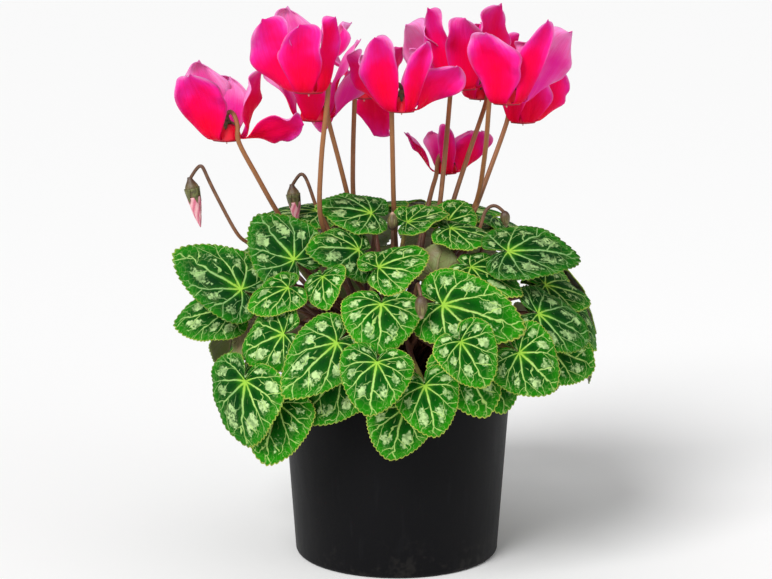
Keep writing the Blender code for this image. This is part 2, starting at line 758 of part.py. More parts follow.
def seat_under(route, tree, facing):
    """Move a stalk's flat end until it lies a gap below its blade, whose upper side faces away."""
    direction = (route[-1] - route[-2]).normalized()
    side = direction.orthogonal().normalized()
    rim = [LEAF_STALK_RADIUS * (Matrix.Rotation(tau * turn / 12, 3, direction) @ side) for turn in range(12)]
    step = 0.1 * MM
    end = route[-1]
    while min(tree.find_nearest(end + corner)[3] for corner in rim) > SEAT_GAP:
        end = end + facing * step
    while min(tree.find_nearest(end + corner)[3] for corner in rim) < SEAT_GAP:
        end = end - direction * step
    return route[:-1] + [end]


def flower_hook(flower):
    """The points of a flower stalk past its mouth, over the hook and down into the calyx."""
    matrix = flower_matrix(flower)
    angle = radians(flower.stalk_side)
    sideways = Vector((sin(angle), -cos(angle), 0))
    return [matrix @ ((aside * sideways + Vector((0, 0, height))) * MM) for aside, height in HOOK]


def rising_route(target, leave_point, blades, azimuth):
    """A stalk from the tuber's crown up through the leaves at a point and on to the target."""
    draw = Random(11)
    best = None
    for trial in range(ROUTE_TRIALS):
        spread = trial / ROUTE_TRIALS
        root = tuber_root(azimuth + draw.uniform(-1, 1) * 120 * spread, draw.uniform(0, CROWN_REACH))
        sway = Vector((draw.uniform(-1, 1), draw.uniform(-1, 1), 0)) * 20 * MM * spread
        shift = Vector((0.3 * draw.uniform(-1, 1), draw.uniform(-1, 1), 0)) * 18 * MM * spread
        middle = root.lerp(leave_point, 0.5) + sway
        route = smooth_route([root, middle, leave_point + shift, target], 2)
        room = clearance(route, blades)
        if best is None or room > best[0]:
            best = (room, route)
        if room > FLOWER_STALK_RADIUS + ROUTE_CLEARANCE:
            break
    room, route = best
    if room < FLOWER_STALK_RADIUS + GAP:
        raise RuntimeError(f"the stalk at {azimuth} degrees finds no clear route")
    return route


def clear_bud(bud, blades):
    """The bud's points, moved by the least step that brings its hook and body clear of the blades."""
    steps = [(turn, out, up) for turn in BUD_TURNS for out in BUD_OUTS for up in BUD_UPS]
    steps.sort(key=lambda step: abs(step[0]) * 1.5 + abs(step[1]) + abs(step[2]))
    stalk_room = BUD_STALK_RADIUS + ROUTE_CLEARANCE
    body_room = bud.radius * MM + GAP
    for turn, out, up in steps:
        points = [place(azimuth + turn, reach + out, height + up) for azimuth, reach, height in bud.route]
        hook = smooth_route(points[:4], 2)
        if clearance(hook, blades, 0, stalk_room) < stalk_room:
            continue
        if clearance(points[3:], blades, 0, body_room) > body_room:
            return points
    raise RuntimeError("a bud finds no clear place")


def bud_parts(bud, blades):
    """A bud's stalk with its brown bud, and the pink tip that hangs from it."""
    points = clear_bud(bud, blades)
    hook = smooth_route(points[:4], 2)
    below = points[0].lerp(Vector((0, 0, points[0].z)), 0.12) - Vector((0, 0, 8 * MM))
    route = rising_route(hook[0], below, blades, bud.route[0][0])[:-1] + hook
    stalk = tube(route, [BUD_STALK_RADIUS] * len(route), 4)
    axis = (points[4] - points[3]).normalized()
    swell = (0.35, 1, 0.95, 0.5)
    body = [points[3] + axis * bud.length * MM * share for share in (0, 0.35, 0.7, 1)]
    brown = tube([points[3] - axis * MM] + body[1:], [bud.radius * MM * share for share in swell], 6)
    pink = None
    if bud.pink:
        start = body[-1] + axis * GAP
        span = (points[4] - points[3]).length - bud.length * MM
        line = [start + axis * span * share for share in (0, 0.3, 0.7, 1)]
        pink = tube(line, [bud.radius * MM * share for share in (0.85, 1, 0.75, 0.2)], 6)
    return stalk, brown, pink


def calyx(flower):
    """The small cup of sepals that the corolla hangs from."""
    shape = bmesh.new()
    bmesh.ops.create_cone(shape, cap_ends=True, segments=6, radius1=CALYX_RADIUS, radius2=0.5 * CALYX_RADIUS,
                          depth=CALYX_LENGTH)
    middle = CUP_HEIGHT + GAP / flower.size + CALYX_LENGTH / 2
    bmesh.ops.translate(shape, vec=(0, 0, middle), verts=shape.verts)
    bmesh.ops.transform(shape, matrix=flower_matrix(flower), verts=shape.verts)
    mesh = bpy.data.meshes.new("calyx")
    shape.to_mesh(mesh)
    shape.free()
    return mesh_object("calyx", mesh)


def main():
    clear_scene()
    black = material("Black plastic", (0.012, 0.012, 0.014), 0.5)
    earth = material("Soil", (0.045, 0.028, 0.018), 0.95)
    brown = material("Brown stalk", (0.23, 0.085, 0.03), 0.5)
    green = material("Leaf green", (0.03, 0.14, 0.035), 0.5)
    pink = material("Petal pink", (0.8, 0.01, 0.14), 0.5)

    make_pot(black)
    make_soil(earth)
    blades = lay_leaves()
    for index, blade in enumerate(blades):
        mesh = bpy.data.meshes.new(f"leaf_{index + 1:02d}")
        mesh.from_pydata(blade.points, [], blade.sides)
        mesh_object(mesh.name, mesh, green)
    for index, flower in enumerate(FLOWERS):
        make_bloom(f"bloom_{index + 1:02d}", flower, pink)

    flower_trees = [flower_tree(flower) for flower in FLOWERS]
    obstacles = [BVHTree.FromPolygons(blade.points, blade.sides) for blade in blades] + flower_trees
    parts = []
    taper = [LEAF_STALK_RADIUS * (1.25 - 0.25 * step / LEAF_STALK_PARTS)
             for step in range(LEAF_STALK_PARTS + 1)]
    for route in leaf_routes(blades, flower_trees):
        parts.append(tube(route, taper, 4))
    for flower in FLOWERS:
        hook = flower_hook(flower)
        route = rising_route(hook[0], place(*flower.exit), obstacles, flower.exit[0])[:-1] + hook
        radii = [FLOWER_STALK_RADIUS * (1.15 - 0.3 * step / len(route)) for step in range(len(route))]
        parts.append(tube(route, radii, 6))
        parts.append(calyx(flower))
    tips = []
    for bud in BUDS:
        stalk, body, tip = bud_parts(bud, obstacles)
        parts += [stalk, body]
        if tip:
            tips.append(tip)
    tuber = mesh_object("tuber_and_stalks", make_tuber(), brown)
    join_bodies(tuber, parts, "tuber_and_stalks")
    tuber.data.materials.clear()
    tuber.data.materials.append(brown)
    for index, tip in enumerate(tips):
        tip.name = f"bud_petals_{index + 1}"
        tip.data.materials.clear()
        tip.data.materials.append(pink)


main()
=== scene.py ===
"""Potted cyclamen, dressed: veined leaves, satin petals, stalks, buds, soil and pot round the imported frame.

Metres, +Z up. A place on the plant is (azimuth, reach, height): degrees from the front, positive toward +X,
then millimetres. The tables of leaves, flowers and buds are those of the part's own source.
"""

from functools import lru_cache
from math import cos, exp, pi, radians, sin, tau
from random import Random
from typing import NamedTuple

import bmesh
import bpy
from bpy.props import FloatProperty, FloatVectorProperty, IntProperty, PointerProperty
from mathutils import Matrix, Vector, noise
from mathutils.bvhtree import BVHTree
from mathutils.kdtree import KDTree


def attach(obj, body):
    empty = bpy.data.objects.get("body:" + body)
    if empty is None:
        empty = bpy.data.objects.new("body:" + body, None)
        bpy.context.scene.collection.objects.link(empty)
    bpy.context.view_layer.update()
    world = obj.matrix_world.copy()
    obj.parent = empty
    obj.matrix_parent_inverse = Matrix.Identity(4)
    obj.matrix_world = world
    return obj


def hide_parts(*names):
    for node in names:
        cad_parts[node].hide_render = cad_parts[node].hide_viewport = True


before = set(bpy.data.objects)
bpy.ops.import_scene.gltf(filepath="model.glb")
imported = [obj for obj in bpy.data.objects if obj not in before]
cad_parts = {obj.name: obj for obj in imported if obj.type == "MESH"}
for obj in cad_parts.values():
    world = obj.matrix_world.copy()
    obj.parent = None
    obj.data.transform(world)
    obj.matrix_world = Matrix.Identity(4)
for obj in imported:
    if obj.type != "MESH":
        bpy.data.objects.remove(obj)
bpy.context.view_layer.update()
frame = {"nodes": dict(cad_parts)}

bl_info = {
    "name": "Potted cyclamen",
    "version": (1, 0, 0),
    "blender": (4, 5, 0),
    "location": "3D View > Sidebar > Cyclamen",
    "description": "Builds a flowering cyclamen in its nursery pot",
    "category": "Add Mesh",
}

MM = 0.001
BODY = "root"

# Between pieces that must not touch
GAP = 0.3 * MM

# Pot, a plain tapered nursery pot of 13 cm
POT_HEIGHT = 110 * MM
POT_FOOT_RADIUS = 57 * MM
POT_RIM_RADIUS = 64.5 * MM
POT_WALL = 2 * MM
POT_FLOOR = 2.5 * MM
POT_FOOT_ROUND = 2.5 * MM
DRAIN_HOLES = 4
DRAIN_RADIUS = 4 * MM
DRAIN_REACH = 38 * MM

# Soil and tuber
SOIL_HEIGHT = 97 * MM
TUBER_RADIUS = 25 * MM
TUBER_HALF_HEIGHT = 13 * MM
TUBER_CENTRE = 98 * MM

# Canopy, a flattened dome whose surface the blades follow
DOME_RADIUS = 112 * MM
DOME_RISE = 82 * MM
DOME_CENTRE = 115 * MM

# Blades
BLADE_THICKNESS = 0.8 * MM
BLADE_CLEARANCE = 1.0 * MM
TEETH = 12
TOOTH_DEPTH = 0.045
NOTCH_HALF_ANGLE = radians(9)
BLADE_SPAN = pi - NOTCH_HALF_ANGLE
RING_SHARE = 0.55

# How far a blade may be moved to clear its neighbours: lift in millimetres, pitch and roll in degrees
LARGEST_LIFT = 14
PITCHES = (0, -7, 7, -14, 14)
ROLLS = (0, -8, 8, -16, 16)

# Stalks
LEAF_STALK_RADIUS = 1.2 * MM
FLOWER_STALK_RADIUS = 1.5 * MM
BUD_STALK_RADIUS = 1.3 * MM
ROUTE_CLEARANCE = 0.7 * MM

# How far a bud may be moved to clear the blades: degrees round the plant, millimetres outward and up
BUD_TURNS = range(-9, 10, 3)
BUD_OUTS = range(-6, 19, 2)
BUD_UPS = range(-6, 13, 2)

# The search for free routes
SEAT_GAP = 1.2 * GAP
SEAT_STEP = 0.1 * MM
ROUTE_TRIALS = 700
ROUTE_STEP = 2.5 * MM
SPAN_SAMPLES = 8
CROWN_REACH = 15 * MM
CROWD_TOP = TUBER_CENTRE + TUBER_HALF_HEIGHT + 8 * MM
LEAF_ROOT_REACH = (7, 20)
LEAF_STALK_PARTS = 5
STALK_NECK = 5 * MM

# Flowers
RIM_RADIUS = 7.2 * MM
CUP_HEIGHT = 7 * MM
CUP_WALL = 1.3 * MM
PETAL_THICKNESS = 0.8 * MM

# Rows of points along a petal's solid, as shares of its length
BODY_SHARES = (0, 0.2, 0.62, 1)

# A flower stalk's hook, as millimetres aside from the flower's axis and up from its mouth
HOOK = ((9.6, -2), (8.6, 6), (6.6, 11.2), (3.2, 13.4), (0.6, 11.8), (0, 9.4))

# Fineness of the dressed pieces. A tooth has points at these heights.
TOOTH_SHAPE = (0, 0.75, 1)
BLADE_RINGS = 14
FINE_BLADE = 0.5 * MM
PETAL_COLUMNS = 14
PETAL_ROWS = 30
FINE_PETAL = 0.4 * MM
CUP_COLUMNS = 40
CUP_ROWS = 12
SEPAL_COLUMNS = 6
SEPAL_ROWS = 8
SEPAL_THICKNESS = 0.4 * MM
HEART_SIDES = 8
BUD_RINGS = 16
BUD_SIDES = 20
BUD_PETAL_RINGS = 28
BUD_PETAL_SIDES = 40
STALK_SIDES = 12
FLOWER_STALK_SIDES = 14
POT_STEPS = 128
DRAIN_SIDES = 32
SOIL_STEPS = 144
SOIL_RINGS = 32
TUBER_STEPS = 72
TUBER_RINGS = 40

# Relief of the blades
QUILT_HEIGHT = 1.1 * MM
MARGIN_RIPPLE = 0.7 * MM
MARGIN_ROLL = 0.5 * MM

# Veins: the angle between two main ones at the joint, how far they bend, and fine rays for each radian
VEIN_TURN = 0.74
VEIN_BEND = 0.18
RAYS = 4.6

# Form of the petals: where they are widest, how much closer the rows of points lie at both ends
WIDEST_SHARE = 0.66
ROW_CROWDING = 0.09

# As shares of a petal's length: its drawn-out tip, the lead of one edge, the flare of the tip
TIP_DRAWN = 0.05
EDGE_LEAD = 0.09
TIP_FLARE = 0.2

# As shares of its width
EDGE_UNEVEN = 0.05
EDGE_WAVE = 0.11
EDGE_RUFFLE = 0.035
EDGE_ROLL = 0.26
TIP_ASIDE = 0.1
CREASE = 0.03

# Petals, by flower and place in its list, that are twisted so far that their pale reverse shows
PALE_PETALS = {(2, 3), (3, 0), (6, 0), (6, 4), (8, 2)}

# Anthers and sepals round each flower or bud
PARTS_ROUND = 5

# The cup's lip hangs below the mouth. The flower's heart is given in millimetres.
LIP_SHARE = 0.3
CUP_DROP = 1.6 * MM
STYLE_RADIUS = 0.35 * MM
STYLE_HEIGHTS = (4, 2, 0, -1.5, -3.4)
ANTHER_REACH = 1.5 * MM
ANTHER_RADII = (0.5, 0.8, 0.75, 0.5, 0.1)

# The swollen end of a flower stalk, as millimetres up from the mouth and radius
RECEPTACLE = ((6.8, 2.6), (7.6, 3.0), (8.4, 2.6), (9.4, 1.9), (10.8, 1.4))

# How far leaf stalks are sunk in their blades, and buds over the ends of their stalks
STALK_SINK = 0.65 * MM
BUD_SINK = 1 * MM

# Crumbs on the soil, a few of them white
SOIL_CRUMBS = 420
WHITE_GRAIN_EVERY = 19

# The photograph's camera, and the lights
CAMERA_PLACE = (-0.006, -1.25, 0.400)
CAMERA_DOWN = 11.34
CAMERA_LENS = 107.07
PLANT_MIDDLE = (0, 0, 0.17)
KEY_PLACE = (-0.5, -0.85, 0.98)
KEY_ANGLE = radians(28)
FILL_PLACE = (1.1, -0.8, 0.7)
FILL_SIZE = 0.9
FLOOR_RADIUS = 12

# Tone, 0 bright green to 1 dark bluish green, and share of silver, for each blade of the near side
LEAF_LOOKS = {
    13: (0.1, 0.4), 14: (0.3, 0.7), 15: (0.1, 0.8), 16: (0.4, 0.3), 17: (0.3, 0.2), 18: (0.6, 0.7),
    19: (0.6, 0.6), 20: (0.25, 0.6), 21: (0.5, 0.3), 22: (0.4, 0.2), 23: (0.3, 0.5), 24: (0.5, 0.3),
    25: (0.4, 0.4), 26: (0.85, 0.8), 27: (0.7, 0.7), 28: (0.75, 0.7), 29: (0.75, 0.6), 30: (0.6, 0.9),
    31: (0.35, 0.8), 32: (0.2, 0.8), 33: (0.1, 0.9), 34: (0.45, 0.8), 35: (0.1, 0.8), 36: (0.05, 0.9),
    37: (0.1, 0.8), 38: (0.35, 0.7), 39: (0.1, 0.5), 40: (0.25, 0.7), 41: (0.9, 0.7), 42: (0.8, 0.8),
    43: (0.3, 0.7), 44: (0.15, 0.7), 45: (0.25, 1.0),
}


class Leaf(NamedTuple):
    """A blade from the joint with its stalk to its tip. Arch lifts the middle, hood drops both sides."""
    joint: tuple
    tip: tuple
    width: float
    roll: float = 0
    arch: float = 0.06
    hood: float = 0.2


class Blade(NamedTuple):
    """A laid blade: its shell and its frame, X from joint to tip and Z out of the upper face."""
    points: list
    sides: list
    frame: Matrix


class Petal(NamedTuple):
    """A petal by its root's turn round the mouth, its lean from upright, length, width, the turn that it
    heads for, the twist of its face and how far its edges bend off it."""
    turn: float
    lean: float
    length: float
    width: float
    heading: float
    twist: float = 0
    camber: float = 0.15


class Flower(NamedTuple):
    """A flower by the middle of its mouth, its size, the side that its stalk passes on, the place where the
    stalk comes out of the blades, and its petals."""
    mouth: tuple
    size: float
    stalk_side: float
    exit: tuple
    petals: tuple


class Bud(NamedTuple):
    """A bud by the route of its stalk above the blades, the last point being the bud's tip. Petals hang
    out of a pink one."""
    route: tuple
    radius: float
    length: float
    pink: bool = False


# Laid from the inside out: where two blades meet, the later one lies over the earlier one.
LEAVES = (
    # Far side
    Leaf((108, 54, 182), (100, 92, 170), 54),
    Leaf((160, 54, 187), (156, 98, 177), 60),
    Leaf((-122, 56, 182), (-114, 95, 172), 56),
    Leaf((101, 103, 126), (98, 111, 92), 46),
    Leaf((138, 104, 119), (140, 113, 80), 58),
    Leaf((178, 104, 118), (175, 113, 78), 58),
    Leaf((-144, 104, 120), (-142, 113, 81), 58),
    Leaf((-117, 102, 124), (-118, 112, 90), 48),
    Leaf((117, 90, 163), (112, 118, 131), 58),
    Leaf((159, 90, 163), (163, 118, 129), 62),
    Leaf((-160, 90, 163), (-164, 118, 129), 62),
    Leaf((-120, 91, 163), (-115, 119, 131), 58),
    # Inner and lower blades of the near side
    Leaf((-35, 108, 106), (-40, 108, 72), 42),
    Leaf((-17, 98, 124), (-30, 102, 97), 42),
    Leaf((2, 103, 108), (-3, 97, 78), 38),
    Leaf((31, 94, 128), (33, 102, 100), 38),
    Leaf((-59, 90, 142), (-58, 103, 120), 30, 180, 0.06, 0.1),
    Leaf((-66, 98, 146), (-78, 124, 135), 38, 0, 0.04, 0.25),
    Leaf((69, 97, 144), (79, 113, 122), 38),
    Leaf((52, 103, 130), (65, 117, 116), 37),
    Leaf((65, 88, 159), (76, 108, 147), 36),
    Leaf((20, 60, 168), (28, 50, 184), 28, 180, 0.06, 0.1),
    Leaf((55, 34, 191), (87, 38, 199), 30),
    Leaf((35, 47, 184), (50, 68, 177), 34, 0, 0.04, 0.3),
    Leaf((9, 36, 193), (42, 42, 198), 34, 0, 0.04, -0.1),
    # Outer blades of the near side
    Leaf((-43, 80, 177), (-62, 86, 198), 41, 0, 0.04, 0.12),
    Leaf((-20, 60, 181), (-38, 79, 179), 38, 0, 0.06, 0.25),
    Leaf((-22, 37, 197), (-54, 55, 197), 36, -22, 0.04, 0.1),
    Leaf((-55, 101, 161), (-69, 128, 179), 39, 0, 0.03, 0.1),
    Leaf((-41, 120, 119), (-43, 118, 82), 51, 0, 0.05, 0.12),
    Leaf((-33, 108, 144), (-46, 116, 132), 38),
    Leaf((-36, 96, 165), (-44, 111, 153), 30),
    Leaf((-26, 88, 172), (-22, 98, 157), 26),
    Leaf((-17, 107, 142), (-29, 119, 113), 38),
    Leaf((-5, 97, 161), (-5, 113, 137), 42),
    Leaf((7, 113, 122), (10, 116, 95), 35),
    Leaf((19, 103, 132), (25, 111, 102), 39),
    Leaf((-5, 121, 136), (-7, 126, 109), 38),
    Leaf((-7, 80, 176), (13, 73, 182), 39, 0, 0.05, 0.3),
    Leaf((31, 75, 174), (42, 98, 160), 34),
    Leaf((44, 82, 176), (62, 109, 172), 44, 0, 0.05, 0.1),
    Leaf((45, 104, 151), (59, 119, 134), 42),
    Leaf((33, 113, 135), (42, 121, 114), 40),
    Leaf((14, 96, 160), (36, 111, 144), 43),
    Leaf((15, 122, 146), (21, 128, 123), 34, 0, 0.02, -0.25),
)

FLOWERS = (
    Flower((-78, 94, 237), 1.05, 45, (-72, 68, 196), (
        Petal(-38, 11, 39, 24, -65, 36), Petal(-145, 8, 42, 22, -155), Petal(175, 12, 34, 20, 170),
        Petal(118, 5, 39, 22, 70, -55), Petal(92, 72, 34, 21, 88, -60))),
    Flower((-44, 67, 266), 1.05, 85, (-46, 52, 194), (
        Petal(-62, 18, 42, 26, -85, 50), Petal(-12, 6, 38, 24, -30), Petal(40, 4, 42, 15, 60),
        Petal(135, 12, 38, 20, 110, -40), Petal(-160, 6, 44, 22, -150))),
    Flower((-73, 47, 247), 1.0, 58, (-70, 27, 197), (
        Petal(104, 27, 43, 24, 88, -60), Petal(145, 14, 48, 16, 95, -40), Petal(-165, 12, 36, 20, -165),
        Petal(-100, 16, 34, 20, -110), Petal(-8, 10, 32, 18, 0))),
    Flower((-125, 22, 256), 0.95, -35, (-95, 24, 200), (
        Petal(155, 150, 28, 26, 180), Petal(-88, 102, 28, 28, -88, 60), Petal(100, 16, 33, 20, 92, -50),
        Petal(40, 10, 32, 20, 60), Petal(-145, 22, 38, 22, -100, 50))),
    Flower((4, 33, 254), 0.95, -145, (0, 24, 195), (
        Petal(-35, 12, 48, 22, -70, 30), Petal(-92, 26, 40, 22, -92, 50), Petal(22, 6, 44, 13, 80),
        Petal(78, 30, 35, 24, 90, -50), Petal(150, 10, 36, 20, 120))),
    Flower((96, 36, 262), 1.0, -140, (85, 24, 200), (
        Petal(-78, 26, 44, 26, -88, 50), Petal(-38, 12, 50, 15, -85, 20), Petal(8, 5, 44, 24, 0),
        Petal(98, 5, 50, 28, 70, -60), Petal(160, 8, 38, 22, 150))),
    Flower((126, 58, 253), 0.9, 20, (105, 32, 196), (
        Petal(-40, 8, 36, 20, -60), Petal(78, 8, 46, 16, 80, -30), Petal(130, 8, 34, 20, 130),
        Petal(-170, 10, 34, 20, -170), Petal(-105, 8, 34, 18, -100))),
    Flower((62, 66, 258), 1.0, -105, (66, 42, 195), (
        Petal(-30, 5, 42, 28, 0), Petal(30, 12, 51, 14, 88, -20), Petal(85, 26, 47, 26, 92, -55),
        Petal(145, 10, 34, 20, 130), Petal(-155, 10, 34, 20, -130))),
    Flower((97, 70, 243), 0.95, -92, (90, 43, 193), (
        Petal(72, 17, 36, 24, 90, -50), Petal(15, 8, 34, 22, 60, -20), Petal(150, 10, 34, 20, 140),
        Petal(-150, 8, 32, 18, -150), Petal(-38, 5, 32, 18, -40))),
    Flower((144, 48, 210), 0.8, -50, (148, 33, 190), (
        Petal(-100, 26, 36, 13, -92, 40), Petal(8, 3, 40, 13, -60), Petal(66, 16, 36, 24, 92, -45),
        Petal(130, 10, 32, 18, 120), Petal(-155, 8, 30, 16, -150))),
)

BUDS = (
    Bud(((-65, 94, 186), (-68, 108, 216), (-69, 112, 225), (-71, 117, 217), (-70, 112, 191)), 3.6, 13, True),
    Bud(((-90, 44, 192), (-92, 49, 207), (-93, 53, 212), (-93, 58, 205), (-92, 55, 184)), 3.4, 12, True),
    Bud(((64, 48, 187), (67, 50, 197), (69, 55, 200), (70, 60, 196), (71, 61, 186)), 2.6, 9),
    Bud(((6, 84, 163), (6, 95, 170), (6, 101, 172), (6.5, 105, 166), (6.5, 106, 156)), 3.2, 12),
    Bud(((-4, 40, 178), (-4, 40, 184), (-4, 40, 187), (-4, 40, 190), (-4, 40, 196)), 2.8, 10),
    Bud(((-46, 84, 164), (-47, 92, 171), (-48, 97, 171), (-49, 101, 166), (-50, 102, 159)), 2.4, 8),
    Bud(((72, 34, 186), (72, 36, 191), (74, 38, 193), (76, 40, 191), (77, 41, 184)), 2.4, 8),
)

# Further blades that close the far side and the top of the dome, laid round the others
FILLING_LEAVES = (
    Leaf((92, 50, 182), (84, 70, 172), 36),
    Leaf((134, 44, 186), (130, 76, 174), 44),
    Leaf((-160, 44, 187), (-166, 78, 174), 44),
    Leaf((-112, 46, 190), (-104, 76, 184), 36),
    Leaf((180, 78, 172), (180, 104, 156), 42),
    Leaf((118, 106, 144), (121, 116, 110), 46),
    Leaf((160, 108, 138), (157, 119, 104), 46),
    Leaf((-163, 108, 138), (-160, 119, 104), 46),
    Leaf((-130, 108, 142), (-132, 117, 108), 44),
    Leaf((94, 96, 150), (88, 112, 126), 38),
    Leaf((-96, 100, 150), (-92, 114, 128), 38),
    Leaf((140, 76, 174), (134, 102, 158), 42),
    Leaf((-140, 76, 174), (-134, 102, 158), 42),
    Leaf((179, 104, 150), (182, 117, 124), 46),
    Leaf((118, 98, 108), (120, 104, 78), 40),
    Leaf((158, 98, 104), (158, 104, 74), 42),
    Leaf((-164, 98, 104), (-164, 104, 74), 42),
    Leaf((-128, 98, 106), (-130, 104, 76), 40),
    Leaf((-84, 74, 160), (-88, 102, 148), 38),
    Leaf((-88, 62, 138), (-88, 84, 116), 34),
    Leaf((-84, 78, 112), (-84, 94, 82), 36),
    Leaf((-78, 66, 176), (-86, 92, 168), 34),
    Leaf((-100, 78, 132), (-100, 97, 104), 36),
    Leaf((80, 80, 152), (84, 106, 134), 36),
    Leaf((86, 80, 132), (88, 98, 106), 36),
    Leaf((78, 70, 166), (82, 96, 158), 34),
)


def place(azimuth, reach, height):
    """The point at an azimuth in degrees, a reach and a height in millimetres."""
    angle = radians(azimuth)
    return Vector((reach * sin(angle), -reach * cos(angle), height)) * MM


def dome_outward(point):
    """The canopy's outward direction beside a point."""
    from_centre = point - Vector((0, 0, DOME_CENTRE))
    return Vector((from_centre.x / DOME_RADIUS ** 2, from_centre.y / DOME_RADIUS ** 2,
                   from_centre.z / DOME_RISE ** 2)).normalized()


def smooth_step(value):
    value = min(1, max(0, value))
    return value * value * (3 - 2 * value)


def turned_shape(profile, sides):
    """A closed body turned round Z from a profile of (radius, height) that starts and ends on the axis."""
    shape = bmesh.new()
    line = [shape.verts.new((radius, 0, height)) for radius, height in profile]
    edges = [shape.edges.new(pair) for pair in zip(line, line[1:])]
    bmesh.ops.spin(shape, geom=line + edges, axis=(0, 0, 1), cent=(0, 0, 0), angle=tau, steps=sides,
                   use_merge=True, use_normal_flip=False)
    bmesh.ops.remove_doubles(shape, verts=shape.verts, dist=1e-6)
    bmesh.ops.recalc_face_normals(shape, faces=shape.faces)
    return shape


def pot_radius(height):
    """The pot's outer radius at a height."""
    return POT_FOOT_RADIUS + (POT_RIM_RADIUS - POT_FOOT_RADIUS) * height / POT_HEIGHT


# Blades

def outline(turn):
    """The margin's distance from the joint at an angle from the midrib, 1 at the tip: a heart."""
    turn = abs(turn)
    body = 0.62 + 0.38 * exp(-(turn / 0.65) ** 1.4)
    lobes = 0.28 * smooth_step((turn - 1.6) / 1.2)
    notch = 1 - 0.9 * exp(-((pi - turn) / 0.3) ** 2)
    return (body - lobes) * notch


HALF_WIDTH = max(outline(turn) * sin(turn) for turn in (0.02 * step for step in range(157)))


def leaf_matrix(leaf):
    """X from joint to tip, Z out of the upper face."""
    joint = place(*leaf.joint)
    tip = place(*leaf.tip)
    along = (tip - joint).normalized()
    outward = dome_outward((joint + tip) / 2)
    facing = (outward - outward.dot(along) * along).normalized()
    facing = Matrix.Rotation(radians(leaf.roll), 3, along) @ facing
    across = facing.cross(along)
    matrix = Matrix((along, across, facing)).transposed().to_4x4()
    matrix.translation = joint
    return matrix


def blade_point(leaf, index, share, turn, tooth=0.0):
    """A point of the blade's middle surface, in its own frame."""
    length = (place(*leaf.tip) - place(*leaf.joint)).length
    broad = leaf.width * MM / (2 * HALF_WIDTH * length)
    reach = share * outline(turn) * (1 + tooth)
    along = reach * cos(turn)
    across = reach * sin(turn) * broad
    lift = 4 * leaf.arch * along * (1 - along) - leaf.hood * across ** 2
    lift += 0.03 * share ** 2 * sin(3 * turn + 1.7 * index)
    return Vector((along, across, lift)) * length


def blade_shell(leaf, index, thickness):
    """Points and faces of a blade: joint, middle ring and toothed margin, alike on both faces."""
    inner_steps = TEETH * 2 // 3
    outer_steps = TEETH * 2
    surface = bmesh.new()
    joint = surface.verts.new(blade_point(leaf, index, 0, 0))
    ring = [surface.verts.new(blade_point(leaf, index, RING_SHARE, BLADE_SPAN * (2 * step / inner_steps - 1)))
            for step in range(inner_steps + 1)]
    margin = []
    for step in range(outer_steps + 1):
        tooth = TOOTH_DEPTH if step % 2 == 0 else -TOOTH_DEPTH
        turn = BLADE_SPAN * (2 * step / outer_steps - 1)
        margin.append(surface.verts.new(blade_point(leaf, index, 1, turn, tooth)))
    for step in range(inner_steps):
        first, second = ring[step], ring[step + 1]
        a, b, c, d = margin[3 * step:3 * step + 4]
        for corners in ((joint, first, second), (first, a, b), (first, b, second),
                        (second, b, c), (second, c, d)):
            surface.faces.new(corners)
    surface.normal_update()
    surface.verts.index_update()
    points = [vert.co.copy() for vert in surface.verts]
    normals = [vert.normal.copy() for vert in surface.verts]
    faces = [[vert.index for vert in face.verts] for face in surface.faces]
    loops = [edge.link_loops[0] for edge in surface.edges if edge.is_boundary]
    border = [(loop.vert.index, loop.link_loop_next.vert.index) for loop in loops]
    surface.free()
    count = len(points)
    shell = [point + normal * thickness / 2 for point, normal in zip(points, normals)]
    shell += [point - normal * thickness / 2 for point, normal in zip(points, normals)]
    sides = list(faces)
    sides += [[corner + count for corner in reversed(face)] for face in faces]
    for start, end in border:
        sides.append([end, start, start + count])
        sides.append([end, start + count, end + count])
    return shell, sides


# Flowers

def flower_matrix(flower):
    """Z up from the mouth, X toward +X."""
    matrix = Matrix.Translation(place(*flower.mouth))
    return matrix @ Matrix.Scale(flower.size, 4)


def petal_frame(petal, share):
    """A petal's middle line at a share of its length: point, direction, across and off its face."""
    steps = 24
    root = radians(petal.turn)
    point = Vector((sin(root), -cos(root), 0)) * (RIM_RADIUS - 0.5 * CUP_WALL)
    for step in range(steps + 1):
        at = step / steps
        lean = radians(petal.lean + (112 - petal.lean) * exp(-at / 0.09))
        heading = radians(petal.turn + (petal.heading - petal.turn) * smooth_step(at / 0.45))
        direction = Vector((sin(lean) * sin(heading), -sin(lean) * cos(heading), cos(lean)))
        if at >= share:
            break
        point = point + direction * min(1 / steps, share - at) * petal.length * MM
    across = Vector((cos(root), sin(root), 0))
    across = (across - across.dot(direction) * direction).normalized()
    across = Matrix.Rotation(radians(petal.twist) * smooth_step(share / 0.55), 3, direction) @ across
    return point, direction, across, direction.cross(across)


def petal_width(share):
    """A petal's width as a share of its widest."""
    if share < 0.62:
        return 0.26 + 0.74 * sin(pi / 2 * share / 0.62) ** 1.2
    return max(0, 1 - ((share - 0.62) / 0.42) ** 2) ** 0.5


def petal_point(petal, share, side, level=0.0):
    """A point of a petal in its flower's frame: side runs from -1 to 1, level is the height off its face."""
    point, _, across, off = petal_frame(petal, share)
    half = petal.width * MM / 2 * petal_width(share)
    camber = petal.camber * petal.width * MM * smooth_step(share / 0.5) * side ** 2
    return point + across * half * side + off * (level + camber)


